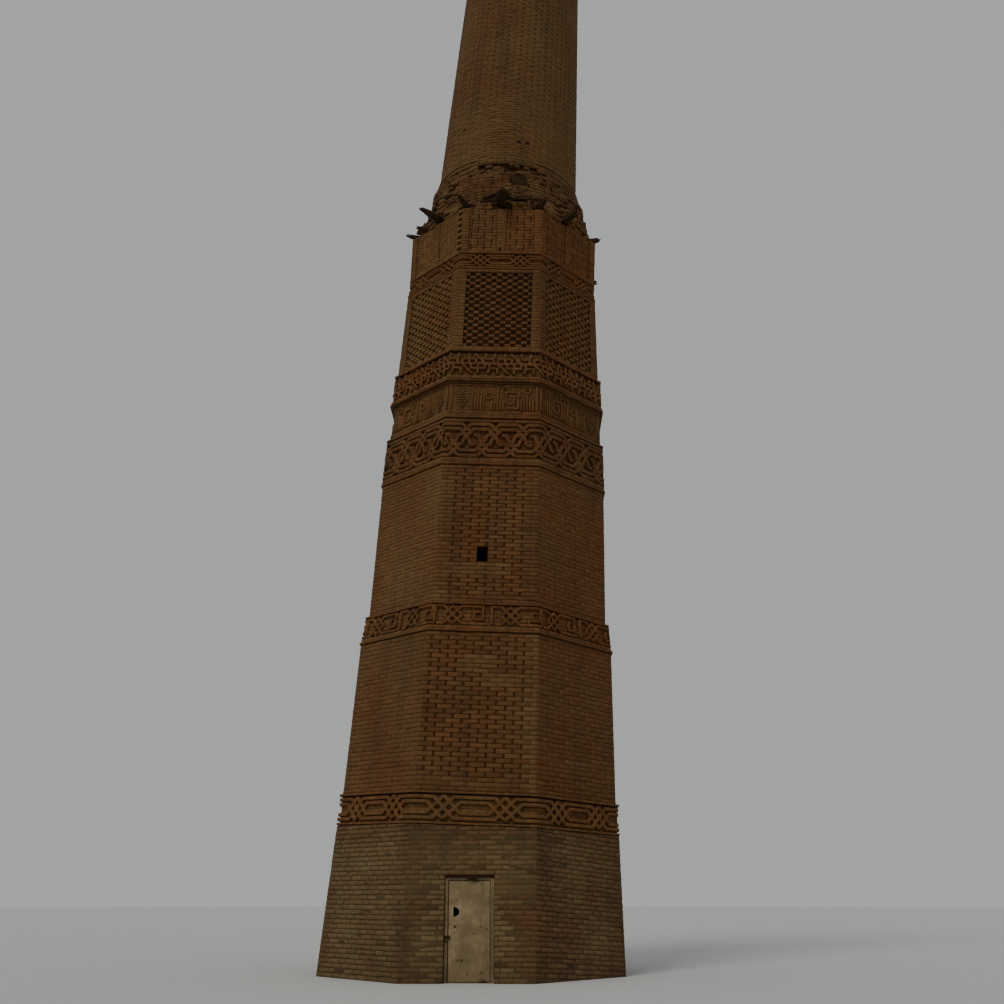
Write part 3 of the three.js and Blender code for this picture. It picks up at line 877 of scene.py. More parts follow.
def ornamental_band(
    name, seed, draw, measures, foot=None, head=None, pale=0.0, share=0.6, dirt=0.0, sunk=FIELD_SUNK,
):
    """A band of brick strapwork over a field of bricks, with flat borders, between two lips. The straps
    stand out by a share of what the lips do."""
    band = BANDS[name]
    pile = Pile(seed)
    field = (band["foot"] + LIP, band["head"] - LIP, *band["field"])
    width = mean_width(*band["field"])
    groove = field[1] - GROOVE
    foot, head = foot or field[0], head or groove
    relief = (band["lips"][0] - band["field"][0]) * APOTHEM * share
    # The bed's soot paints shade where it shows, in the gaps and in the groove under the upper lip
    bed(pile, name, FIELD_BED, BRICK, (0.3, 0.0, 0.5))
    for low, radius in zip((band["foot"], band["head"] - LIP), band["lips"]):
        for side in sides((low, low + LIP, radius, radius)):
            lay_courses(
                pile, side, low, low + LIP, LIP, 0.25, gap=0.004, pale=pale, deep=0.12,
                start=0.07 * side.number, spread=0.5,
            )
    shapes = draw(width, *measures)
    wrap(pile, field, width, shapes, foot + 0.003, head - 0.003, -FIELD_BED, relief, pale, dirt)
    for side in sides(field):
        same = dict(pale=pale, weather=tier_weather(side.number, dirt=dirt), deep=FIELD_BED)
        lay_courses(
            pile, side, foot, head, 0.078, 0.25, gap=0.009, out=-sunk, start=0.05 * side.number, **same,
        )
        for low, high in ((field[0], foot), (head, groove)):
            if high - low > 0.02:
                out = relief - 0.003
                lay_courses(pile, side, low, high - 0.008, 0.08, 0.25, gap=0.006, out=out, **same)
    show(pile, f"{name}_strapwork", "brick", name)


# Base tier
DOOR_COURSES = 21
BASE_RISE = DOOR["head"] / DOOR_COURSES

# Courses by which the side to the right of the front has sunk at its far corner
SUNK_COURSES = {1: 2}


def base_weather(number):
    """Yellow bricks in the middle of a side, browner ones at its corners and top, lime by the door."""
    front = number == 0
    turn = {1: -0.13, 7: 0.14}.get(number, 0.0)

    def weather(u, z):
        patch = noise.noise(Vector((u * 1.1, z * 1.3, number * 3.7)))
        single = noise.cell(Vector((u * 4.2, z * 12.0, number))) - 0.5
        edge = max(0.0, abs(u) - 0.72) + 0.4 * max(0.0, z - 2.1)
        lime = 0.0
        if front and z < 2.0 and (-0.72 < u < -0.4 or 0.46 < u < 0.8):
            lime = 0.35 * max(0.0, 0.5 + noise.noise(Vector((u * 7, z * 5, 1.3))))
        foot = max(0.0, 0.4 - z) * 0.25
        smudge = 0.55 * edge * (0.6 + patch) if front else 0.3 * edge * (0.5 + patch)
        yellow = 0.48 + turn + 0.55 * patch + 0.22 * single - 0.9 * edge + lime
        return min(1.0, max(0.0, yellow)), min(0.5, max(0.0, foot + smudge))
    return weather


def base_bricks():
    pile = Pile(11)
    nodes = named("base_wall")
    for node in nodes:
        bed(pile, node)
    rows = math.ceil((BASE[1] + BASE[2] * math.sin(LEAN)) / BASE_RISE)
    doorway = []
    for row in range(DOOR_COURSES):
        lean = (row + 0.5) * BASE_RISE * math.tan(LEAN)
        left, right = ((x - lean) * math.cos(LEAN) for x in (DOOR["left"] - 0.002, DOOR["right"] + 0.002))
        doorway.append((left, right, row * BASE_RISE, (row + 1) * BASE_RISE))
    for number in range(SIDES):
        front = number == 0
        sunk = SUNK_COURSES.get(number, 0)
        side = Level(number, BASE, sunk * BASE_RISE)
        lay_courses(
            pile, side, 0.0, (rows + sunk) * BASE_RISE, BASE_RISE, 0.27, gap=0.017,
            holes=doorway if front else (), weather=base_weather(number), start=0.05 * number,
            wander=0.045, rough=0.005, limits=side.limits, chips=0.16, strips=12 if sunk else 1,
            spread=0.5 if front else 0.7, raked=0.007 if front else MORTAR,
            joint_soot={0: 0.0, 1: 0.06}.get(number, 0.3),
        )
    show(pile, "base_brickwork", "pale_brick", *nodes, materials=[BASE_BRICKS, BASE_JOINTS, INNER])


base_bricks()


# Second and third tiers: open rising joints on every other side, plain courses between
def tier_weather(number, patches=(), dirt=0.0):
    """Paleness and soot on a side. A patch is left, right, foot, head and what it adds to the paleness."""
    def weather(u, z):
        patch = noise.noise(Vector((u * 0.8, z * 0.6, number * 5.1)))
        paleness = 0.11 - 0.14 * math.sin(2 * CORNER * number) + (0.1 if number == 1 else 0.28) * patch
        for left, right, low, high, amount in patches:
            if left < u < right and low < z < high:
                paleness += amount
        return max(0.0, paleness), dirt + max(0.0, -0.06 * patch)
    return weather


# Plainly mended places on the front, whose rising joints are closed, and others that are only paler
TIER_2_MENDED = [(-0.45, 0.2, 5.35, 5.7, 0.35), (0.0, 0.8, 5.15, 5.4, 0.3)]
TIER_2_PALE = [(0.85, 1.2, 3.1, 6.2, 0.27), (-1.2, 1.2, 3.1, 6.2, -0.09)]
TIER_2_STREAKS = [(-0.93, -0.52, 5.26, 5.34, 0.35), (-0.38, 0.15, 3.83, 3.91, 0.35)]
TIER_3_MENDED = [(-0.8, 0.35, 7.35, 7.65, 0.42)]
TIER_3_PALE = [(-1.1, -0.85, 6.7, 9.8, 0.25), (-1.1, 1.1, 6.7, 9.8, -0.10)]


def open_field(left, right, foot, head, mended):
    """Says that the rising joints within a field are open, but not in its mended places."""
    def is_open(u, z):
        inside = left < u < right and foot < z < head
        return inside and not any(a < u < b and low < z < high for a, b, low, high, _ in mended)
    return is_open


def tier_bricks(name, seed, storey, nodes, course, module, is_open, patches, dirt, holes=()):
    pile = Pile(seed)
    for node in nodes:
        bed(pile, node)
    for side in sides(storey):
        slotted = side.number % 2 == 0
        own = dict(gap=0.013, is_open=is_open) if slotted else dict(gap=0.008, spread=0.55)
        lay_courses(
            pile, side, storey[0], storey[1] - SHADOW_GAP, course, module if slotted else 0.3,
            holes=() if side.number else holes, slot=0.042, start=0.0 if slotted else 0.1 * side.number,
            weather=tier_weather(side.number, patches.get(side.number, ()), dirt), **own,
        )
    show(pile, name, "brick", *nodes)


tier_bricks(
    "tier_2_brickwork", 12, TIER_2, ["tier_2_wall"], 0.0878, 0.326,
    open_field(-0.98, 0.84, 3.4, 6.05, TIER_2_MENDED),
    {0: TIER_2_MENDED + TIER_2_PALE, 1: TIER_2_STREAKS}, 0.09,
)
tier_bricks(
    "tier_3_brickwork", 13, TIER_3, ["tier_3_front_wall", "tier_3_wall"], 0.084, 0.35,
    open_field(-0.85, 0.79, 7.0, 9.66, TIER_3_MENDED), {0: TIER_3_MENDED + TIER_3_PALE}, 0.05, [SLIT],
)

# Bands: each pattern's measures begin with the height of its middle
ornamental_band(
    "band_1", 21, knot_band, (2.885, 0.104, 0.098, 0.185, 0.060), pale=0.1, share=0.7, sunk=0.022,
)
ornamental_band("band_2", 22, fret_band, (6.525,), 6.315, 6.735, share=0.5, sunk=0.018)
ornamental_band("band_3", 23, arcade_band, (10.32,), 9.935, 10.755, share=0.72, dirt=0.13)
ornamental_band("band_4", 24, diagonal_band, (12.180,), 11.885, 12.462, share=0.72)
ornamental_band("band_5", 25, knot_band, (14.915, 0.078, 0.075, 0.137, 0.042), 14.757, 15.075)

# Frieze: a framed field of brick ends set as diamonds, reeds, keys and rings
REED_PITCH = 0.063
STUD_PITCH = 0.062
FRIEZE_COURSE = 0.048
FRIEZE_BORDER = 11.045

# The frieze has posts at both ends of a side, but is broken off at the corner between these two sides
FRIEZE_POSTS = {6: (-1,), 7: (1,)}

# The lip over the frieze is three thin courses, the middle one standing out
FRIEZE_LIP = 2.628
FRIEZE_LIP_COURSES = [(11.710, 11.742, -0.070), (11.742, 11.776, 0.0), (11.776, 11.800, -0.070)]


def oblong(x, z, wide, high):
    left, right, foot, head = x - wide / 2, x + wide / 2, z - high / 2, z + high / 2
    return np.array([(left, foot), (right, foot), (right, head), (left, head)])


def stepped_diamond(x, z):
    return [
        (0, oblong(x + (i - (3 - abs(row)) / 2) * STUD_PITCH, z + row * STUD_PITCH, 0.046, 0.046))
        for row in range(-3, 4)
        for i in range(4 - abs(row))
    ]


def reeds(x, *heights):
    """Upright bars side by side, that stand on the frieze's border."""
    foot = FRIEZE_BORDER + 0.02
    first = x - (len(heights) - 1) / 2 * REED_PITCH
    places = [first + i * REED_PITCH for i in range(len(heights))]
    return [(0, oblong(place, foot + high / 2, 0.034, high)) for place, high in zip(places, heights)]


def small_ring(x, z):
    path = [(0.075 * math.cos(a), 0.075 * math.sin(a)) for a in np.linspace(0, 2 * math.pi, 9)]
    return moved(whole(path), x, z, 0.034, 0) + [(0, oblong(x, z, 0.035, 0.035))]


def square_key(x, z):
    path = [
        (-0.13, -0.19), (0.13, -0.19), (0.13, 0.19), (-0.13, 0.19), (-0.13, -0.08), (0.04, -0.08),
        (0.04, 0.09), (-0.05, 0.09),
    ]
    return moved(whole(path), x, z, 0.040, 0)


def frieze_shapes(x, turn, posts):
    """One side's reliefs about its middle x; a turn of -1 mirrors them, posts are its ends' signs."""
    rail = oblong(x, 11.672, 1.9, 0.028)
    shapes = [(0, between(rail, 0, x + left, x + left + 0.235)) for left in np.arange(-0.96, 0.9, 0.24)]
    shapes += [(0, oblong(x + side * 0.925, 11.365, 0.045, 0.57)) for side in posts]
    shapes += reeds(x - turn * 0.72, 0.28, 0.34, 0.40, 0.34, 0.28)
    shapes += small_ring(x - turn * 0.72, 11.57)
    shapes += square_key(x - turn * 0.40, 11.32)
    shapes += reeds(x - turn * 0.08, 0.22, 0.22, 0.57, 0.22, 0.22)
    shapes += small_ring(x + turn * 0.10, 11.42) + small_ring(x - turn * 0.25, 11.57)
    shapes += reeds(x + turn * 0.34, 0.46, 0.36, 0.57, 0.36, 0.46)
    shapes += stepped_diamond(x + turn * 0.68, 11.33)
    return shapes


def frieze():
    pile = Pile(26)
    width = mean_width(*FRIEZE[2:])
    bed(pile, "frieze_band")
    shapes = []
    for side in sides(FRIEZE):
        number = side.number
        posts = FRIEZE_POSTS.get(number, (-1, 1))
        shapes += frieze_shapes(number * width, 1 if number % 2 else -1, posts)
        bites = []
        if len(posts) == 1:
            for low in np.arange(FRIEZE_BORDER, 11.62, FRIEZE_COURSE):
                reach = 0.98 - pile.rng.uniform(0.03, 0.13)
                left, right = (reach, 1.1) if posts[0] < 0 else (-1.1, -reach)
                bites.append((left, right, low, low + FRIEZE_COURSE))
        same = dict(weather=tier_weather(number), spread=0.6)
        lay_courses(
            pile, side, FRIEZE_BORDER, FRIEZE[1], FRIEZE_COURSE, 0.25, gap=0.010, out=-0.030, holes=bites,
            start=0.06 * number, pale=0.10, **same,
        )
        lay_courses(
            pile, side, FRIEZE[0] + SHADOW_GAP, FRIEZE_BORDER, 0.068, 0.25, gap=0.007, out=-0.002,
            start=0.03 * number, **same,
        )
        for low, high, out in FRIEZE_LIP_COURSES:
            lip = Side(number, (low, high, FRIEZE_LIP, FRIEZE_LIP))
            lay_courses(
                pile, lip, low, high, high - low, 0.25, gap=0.004, out=out, rough=0.002, spread=0.5,
            )
    wrap(pile, FRIEZE, width, shapes, FRIEZE[0], FRIEZE[1], -BED, 0.0, pale=0.10)
    show(pile, "frieze_brickwork", "brick", "frieze_band")


frieze()

# Fourth tier: on each side a recess full of staggered brick ends, between plain pilasters
COMB = (-0.745, 0.745, 12.645, 14.590)
COMB_ROWS = 23
COMB_PERIOD = 0.24
COMB_BACK = 0.155


def honeycomb_tier():
    pile = Pile(14)
    # The bed's soot paints shade where it shows deep behind the brick ends
    bed(pile, "tier_4_wall", note=(0.3, 0.0, 0.45))
    comb_left, comb_right, comb_foot, comb_head = COMB
    rise = (comb_head - comb_foot) / COMB_ROWS
    reach = math.ceil(comb_right / COMB_PERIOD) + 1
    for side in sides(TIER_4):
        weather = tier_weather(side.number, dirt=0.13)
        levels = (TIER_4[0], comb_foot, comb_head, TIER_4[1] - SHADOW_GAP)
        for foot, head in zip(levels, levels[1:]):
            lay_courses(
                pile, side, foot, head, rise, 0.25, gap=0.008, holes=[COMB], weather=weather,
                start=0.03 * side.number, spread=0.8,
            )
        front = side.number == 0
        sunk, brick_width, proud = (0.085, 0.132, -0.022) if front else (0.062, 0.148, -0.014)
        # The recess's back is a dark slab whose soot paints the shade deep in the recess, more on the
        # front
        slabs(pile, side, [(*COMB, -sunk, 0.4, 0.0, 0.3 if front else 0.1)], COMB_BACK)
        ends, mortar = [], []
        for row in range(COMB_ROWS):
            low = comb_foot + rise * row
            for i in range(-reach, reach):
                centre = (i + row % 2 / 2) * COMB_PERIOD
                left = max(centre - brick_width / 2, comb_left)
                right = min(centre + brick_width / 2, comb_right)
                if right - left > 0.03:
                    face = proud - abs(pile.rng.normal(0, 0.007))
                    paleness, _ = weather(centre, low)
                    # Ends on the front get soot that paints the shade of their deep recess
                    wear_and_shade = (0.4 * paleness, 0.15) if front else (0.08 + 1.4 * paleness, 0.0)
                    look = (pile.rng.random(), *wear_and_shade)
                    ends.append((left, right, low + 0.014, low + rise - 0.006, face, *look))
                    mortar.append((left + 0.006, right - 0.006, low, low + rise, face - 0.03, *look))
        blocks(pile, side, ends, COMB_BACK, chamfer=0.006, wobble=0.003, chips=0.2)
        slabs(pile, side, mortar, COMB_BACK)
    show(pile, "tier_4_brickwork", "brick", "tier_4_wall")


honeycomb_tier()

# Fifth tier: two sunk panels on each side, with columns of staggered slots two courses tall
PANEL = dict(foot=15.195, head=16.320, offset=0.425, half=0.3275, sunk=0.030, rows=14)
PANEL_RISE = (PANEL["head"] - PANEL["foot"]) / PANEL["rows"]
SLOT_COLUMNS = [-0.69, -0.54, -0.39, -0.22, 0.20, 0.35, 0.52, 0.66]

# A brick lost at the front's foot, and others lost at the corner of the side to its left
LOST_BRICKS = {
    0: [(-0.045, 0.005, 15.195, 15.265)],
    7: [
        (0.755, 1.1, PANEL["foot"] + PANEL_RISE * row, PANEL["foot"] + PANEL_RISE * (row + 1))
        for row in range(0, PANEL["rows"], 2)
    ],
}


def open_fifth(u, z):
    column = int(np.argmin(np.abs(np.array(SLOT_COLUMNS) - u)))
    course = int((z - PANEL["foot"]) / PANEL_RISE) + 2 * (column % 2)
    return course % 4 < 2


def fifth_tier():
    pile = Pile(15)
    bed(pile, "tier_5_wall", note=(0.3, 0.0, 0.3))
    foot, head = PANEL["foot"], PANEL["head"]
    panels = [(c * PANEL["offset"] - PANEL["half"], c * PANEL["offset"] + PANEL["half"]) for c in (-1, 1)]
    for side in sides(TIER_5):
        weather = tier_weather(side.number)
        holes = [(*panel, foot, head) for panel in panels] + LOST_BRICKS.get(side.number, [])
        for low, high in ((TIER_5[0], foot), (foot, head)):
            lay_courses(
                pile, side, low, high, PANEL_RISE, 0.25, gap=0.009, holes=holes, weather=weather,
                start=0.04 * side.number, spread=0.8,
            )
        slot, sunk = (0.018, 0.020) if side.number % 2 else (0.026, 0.036)
        for panel in panels:
            lay_courses(
                pile, side, foot, head, PANEL_RISE, 0.147, gap=0.010, is_open=open_fifth, slot=slot,
                sunk=sunk, out=-PANEL["sunk"], ends=panel, columns=SLOT_COLUMNS, weather=weather,
                wander=0.005, deep=0.12,
            )
    show(pile, "tier_5_brickwork", "brick", "tier_5_wall")


fifth_tier()

# Broken core of the gallery: rough courses stepping inwards, with bricks missing
CORE_COURSE = 0.0858
CORE_JOINT = 0.010
BOARD = dict(angle=281.0, z=17.335, wide=0.36, high=0.25)

# Lengths of the core's bricks along the wall, and how they stand out or lie back where they are whole,
# broken, and elsewhere
CORE_BRICKS = (0.12, 0.2, 0.24)
WHOLE, TORN, WORN = (-0.012, 0.004), (-0.09, 0.035), (-0.032, 0.010)

# Where the timbers come out of the core
BEAM_RADIUS = 2.3


def core_state(degrees, z):
    """Whether the core at a place is sound, ringed by whole courses, broken, and ragged."""
    sound = 238 < degrees < 296 and z < 17.48
    broken = 246 < degrees < 294 and z > 17.48
    ragged = z < 17.45 and (200 < degrees < 236 or 298 < degrees < 352)
    return sound, z > 17.58 and not broken, broken, ragged


def rough_core():
    pile = Pile(16)
    rng = pile.rng
    bed(pile, "gallery_core", 0.11, note=(0.3, 0.0, 0.35), shape="round")
    points, faces = node_shape("gallery_core")
    tree = BVHTree.FromPolygons([Vector(p) for p in points], faces.tolist())
    beams = [node_shape(node)[0].mean(0) for node in named("timber_")]
    beams = [(math.atan2(y, x), height) for x, y, height in beams]
    wall = Rough()
    rows, backs = [], []
    for course in range(round((CORE_HEAD - CORE_FOOT) / CORE_COURSE)):
        low = CORE_FOOT + CORE_COURSE * course
        z = low + CORE_COURSE / 2
        angle = rng.uniform(0, 0.1)
        end = angle + 2 * math.pi
        while angle < end - 0.03:
            width = rng.choice(CORE_BRICKS) + rng.uniform(-0.02, 0.02)
            width = min(width, (end - angle) * wall.MIDDLE)
            middle = angle + width / 2 / wall.MIDDLE
            facing = Vector((math.cos(middle), math.sin(middle), 0))
            hit = tree.ray_cast(facing * 4 + Vector((0, 0, z)), -facing)[0]
            by_beam = any(
                abs((middle - at + math.pi) % (2 * math.pi) - math.pi) * BEAM_RADIUS < 0.07 + width / 2
                and abs(z - height) < 0.12
                for at, height in beams
            )
            degrees = math.degrees(middle) % 360
            sound, ringed, broken, ragged = core_state(degrees, z)
            patch = noise.noise(Vector((middle * 5, z * 3, 2.0)))
            likely = 0.03 + 0.15 * max(0.0, patch) + 0.22 * broken + 0.10 * ragged
            missing = not (sound or ringed) and rng.random() < likely
            in_board = abs(degrees - BOARD["angle"]) < 6.0 and abs(z - BOARD["z"]) < 0.16
            if hit is not None and not (by_beam or missing or in_board):
                radius = math.hypot(hit[0], hit[1])
                wear = WHOLE if sound or ringed else TORN if broken or ragged else WORN
                face = radius + 0.02 * patch
                face += rng.uniform(*wear) + 0.028 * (ringed and course % 2)
                rise = rng.uniform(-0.003, 0.003) * (not ringed)
                left, right = angle * wall.MIDDLE, (angle + width / wall.MIDDLE) * wall.MIDDLE
                rows.append((
                    left + CORE_JOINT / 2, right - CORE_JOINT / 2,
                    low + 0.006 + rise, low + CORE_COURSE - 0.006 + rise,
                    face, rng.random(), 0.16 + 0.3 * patch, max(0.0, 0.23 + 0.12 * broken - 0.3 * patch),
                ))
                backs.append(radius - 0.2)
            angle += width / wall.MIDDLE
    blocks(pile, wall, rows, -np.array(backs)[:, None], chamfer=0.006, wobble=0.0035, chips=0.3)
    show(pile, "core_brickwork", "brick", "gallery_core")


rough_core()

# Timbers: each stub is a bundle of splintered strands, two of them to each side of a middle one
STRANDS = range(-2, 3)
STRAND_FACES = skin(4, 4) + [[15, 14, 13, 12], [0, 1, 2, 3]]


def splinters(pile, near, far, wide, tall, taper):
    """Strands along a beam from near to far, whose section is wide by tall at the root."""
    rng = pile.rng
    axis = far - near
    length = np.linalg.norm(axis)
    axis = axis / length
    across = np.array([-axis[1], axis[0], 0.0])
    across /= np.linalg.norm(across)
    up = np.cross(axis, across)
    up = up if up[2] > 0 else -up
    size = np.array([wide, tall]) / len(STRANDS)
    for i, j in ((i, j) for i in STRANDS for j in STRANDS):
        rim = max(abs(i), abs(j)) / max(STRANDS)
        reach = 1.0 - rng.uniform(0.0, 0.10 + 0.16 * rim)
        rings = []
        for share, thin in ((0.0, 1.0), (reach * 0.6, 0.96), (reach * 0.9, 0.85), (reach, 0.45)):
            scale = 1 - (1 - taper) * share
            jitter = rng.normal(0, 0.0015, 2)
            for corner in ((-0.5, -0.5), (0.5, -0.5), (0.5, 0.5), (-0.5, 0.5)):
                flat = (size * (i, j) + jitter + np.array(corner) * size * thin) * scale
                rings.append(near + axis * length * share + across * flat[0] + up * flat[1])
        pile.add(rings, (rng.random(), 0.25 * rng.random() ** 2, 0.0), STRAND_FACES)


def beam_end(ring):
    """Middle, width and height of a beam's end, from its corners."""
    x, y, _ = middle = ring.mean(0)
    across = np.array([-y, x]) / np.hypot(x, y)
    return middle, np.ptp(ring[:, :2] @ across), np.ptp(ring[:, 2])


def timbers():
    for seed, node in enumerate(named("timber_")):
        points, _ = node_shape(node)
        radius = np.hypot(points[:, 0], points[:, 1])
        beyond = radius > (radius.max() + radius.min()) / 2
        near, wide, tall = beam_end(points[~beyond])
        far, far_wide, _ = beam_end(points[beyond])
        pile = Pile(100 + seed)
        splinters(pile, near, far, wide, tall, far_wide / wide)
        show(pile, f"{node}_splinters", "timber", node, materials=[WOOD])


timbers()

# Loose wood on the core's front: a tie laid along the wall, stubs, a dark beam end, a board, and battens
# over a dark board that paints the shadow beneath them. Places on it are degrees round the axis and
# heights.
TIES = [
    (-89, -77, 16.50, 16.54, 0.030), (-83, -76, 16.57, 16.62, 0.032), (-76, -66, 16.57, 16.62, 0.038),
]
STUBS = [(-74, 16.54, 2), (-72.5, 16.59, -2), (-70, 16.55, 3), (-67, 16.54, -2)]
# Painted shadow: a dark board behind the battens stands for the shade beneath them
SHADOW_BOARD = [(-104.0, 16.60), (-90.0, 16.60), (-90.0, 16.85), (-98.5, 16.73)]
BATTENS = [
    ([(-104.0, 16.57), (-90.0, 16.57)], 0.030, 2.23),
    ([(-104.0, 16.63), (-98.5, 16.73), (-90.0, 16.86)], 0.034, 2.19),
    ([(-90.0, 16.86), (-86.5, 16.71), (-82.0, 16.65), (-75.0, 16.67)], 0.034, 2.20),
]
KNOB = [(0.0, -0.13), (0.15, -0.03), (0.07, 0.06), (0.0, 0.15), (-0.07, 0.07), (-0.15, -0.03)]


def core_wood():
    pile = Pile(31)
    wall = Rough()
    degree = math.radians(wall.MIDDLE)

    def on_core(degrees, radius, z):
        return polar(radius, math.radians(degrees), z)

    def flat(outline, back, front, tone, chamfer=0.004, pale=0.0):
        prism(pile, wall, outline, back, front, (tone, pale, 0.0), chamfer)

    for first, last, foot, head, thick in TIES:
        splinters(pile, on_core(first, 2.36, foot), on_core(last, 2.38, head), thick, thick, 0.9)
    for degrees, z, tilt in STUBS:
        ends = on_core(degrees, 2.36, z - 0.11), on_core(degrees + tilt, 2.34, z + 0.12)
        splinters(pile, *ends, 0.042, 0.042, 0.7)
    # Painted shadow: the dark board between the battens
    flat(np.array(SHADOW_BOARD) * (degree, 1.0), 2.02, 2.155, 0.9)
    for path, width, front in BATTENS:
        for outline in strap(np.array(path) * (degree, 1.0), width):
            flat(outline, 2.05, front, 0.8)
    for back, front, scale in ((2.25, 2.48, 1.0), (2.43, 2.53, 0.75), (2.51, 2.56, 0.5)):
        flat(np.array(KNOB) * scale + (-90.2 * degree, 16.615), back, front, 1.0, 0.016)
    middle, z = BOARD["angle"] * degree, BOARD["z"]
    wide, high, rim = BOARD["wide"], BOARD["high"], 0.022
    flat(oblong(middle, z, wide, high), 1.86, 1.945, 1.0, 0.006)
    for side in (-1, 1):
        stile = oblong(middle + side * (wide + rim) / 2, z, rim, high + 2 * rim)
        rail = oblong(middle, z + side * (high + rim) / 2, wide - 0.004, rim)
        for piece in (stile, rail):
            flat(piece, 1.86, 1.960, 0.6, pale=0.5)
    show(pile, "core_wood", "timber", materials=[WOOD])


core_wood()

# Round shaft on its foot ring: two lips round a plain field, lost between two places of the front
RING_LIP, RING_FIELD = 1.838, 1.806
RING_LEVELS = (0.0, 0.060, 0.140, 0.200)
LOST_LIP = (-0.78, 0.72)

# Holes left by the builders' scaffold beams, as places on the shaft's face
PUTLOGS = [(0.27, 0.72), (0.48, 0.72), (-1.18, 1.36), (2.10, 0.72), (-2.35, 1.36), (3.60, 0.72)]


def shaft_weather(u, z):
    patch = noise.noise(Vector((u * 0.7, z * 0.9, 41.0)))
    return 0.26 + 0.25 * patch, 0.16 + max(0.0, -0.05 * patch)


def foot_ring():
    pile = Pile(17)
    bed(pile, "shaft_foot_ring", 0.03, shape="shaft")
    same = dict(mortared=False, weather=shaft_weather)
    for low, high, radius in zip(RING_LEVELS, RING_LEVELS[1:], (RING_LIP, RING_FIELD, RING_LIP - 0.012)):
        lost = [] if radius == RING_FIELD else [(*LOST_LIP, low, high)]
        wall = Round(low, high, radius, radius)
        lay_courses(pile, wall, low, high, high - low, 0.22, gap=0.008, rough=0.004, holes=lost, **same)
        if lost:
            wall = Round(low, high, RING_FIELD, RING_FIELD)
            lay_courses(
                pile, wall, low, high, high - low, 0.22, gap=0.010, rough=0.012, ends=LOST_LIP, chips=0.5,
                **same,
            )
    show(pile, "foot_ring_brickwork", "brick", "shaft_foot_ring")


def open_on_shaft(u, z):
    """The shaft's lower courses are plain."""
    return z > 2.15


def shaft():
    pile = Pile(18)
    staves = named("shaft_stave")
    for node in staves:
        bed(pile, node, 0.018, note=(0.5, 0.4, 0.0), shape="shaft")
    wall = Round(*SHAFT)
    holes = [(u - 0.05, u + 0.05, z - 0.03, z + 0.03) for u, z in PUTLOGS]
    lay_courses(
        pile, wall, SHAFT[0], SHAFT[1], 0.080, 0.34, gap=0.007, is_open=open_on_shaft, slot=0.042,
        weather=shaft_weather, mortared=False, wander=0.008, rough=0.0025, spread=0.7, holes=holes,
    )
    # Painted shadow: near-black slabs deep in the putlog holes stand for the shade inside them
    dark = [(a, b, low - 0.01, high + 0.01, -0.016, 0.3, 0.0, 0.95) for a, b, low, high in holes]
    slabs(pile, wall, dark, 0.02)
    lay_courses(
        pile, Top(*SHAFT), 0.062, 0.674, 0.204, 0.30, gap=0.010, out=-0.004, deep=0.045,
        weather=shaft_weather, wander=0.02, spread=0.7, chips=0.3,
    )
    show(pile, "shaft_brickwork", "brick", *staves)


foot_ring()
shaft()

# Door set
COATS = [
    (PAINT, ["door_leaf", "hinge_lower_leaf_half", "hinge_upper_leaf_half"]),
    (FRAME_PAINT, ["door_frame", "hinge_lower_frame_half", "hinge_upper_frame_half"]),
    (STEEL, ["door_hasp", "padlock"]),
    (PAVING, ["floor", "passage_floor"]),
]
for material, nodes in COATS:
    for node in nodes:
        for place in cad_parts[node].material_slots:
            place.material = material

FRAME_FRONT, LEAF_FRONT = 2.762, 2.754
LEAF = dict(left=-0.3247, right=0.3987, foot=0.022, head=1.652)

# Heights of the hinges' middles, and how far the frame's beads keep from them
HINGES = (0.300, 1.380)
HINGE_REACH = 0.047


def strips(seed, name, rows, back, front, chamfer, material, body="tower"):
    """Thin upright strips on the door set. A row is left, right, foot, head and a note."""
    pile = Pile(seed)
    slabs(pile, Upright(), [(*box, front, *note) for *box, note in rows], -back, chamfer, BRICK)
    show(pile, name, "painted_steel", materials=[material], lean=0.0, body=body)


def beside_hinges(left, right, foot, head, note):
    """An upright strip on the frame, parted where the two hinges lie."""
    hinges = [(z - HINGE_REACH, z + HINGE_REACH, 0, 1) for z in HINGES]
    return [(left, right, low, high, note) for low, high in clear_spans(foot, head, hinges, 0, 1)]


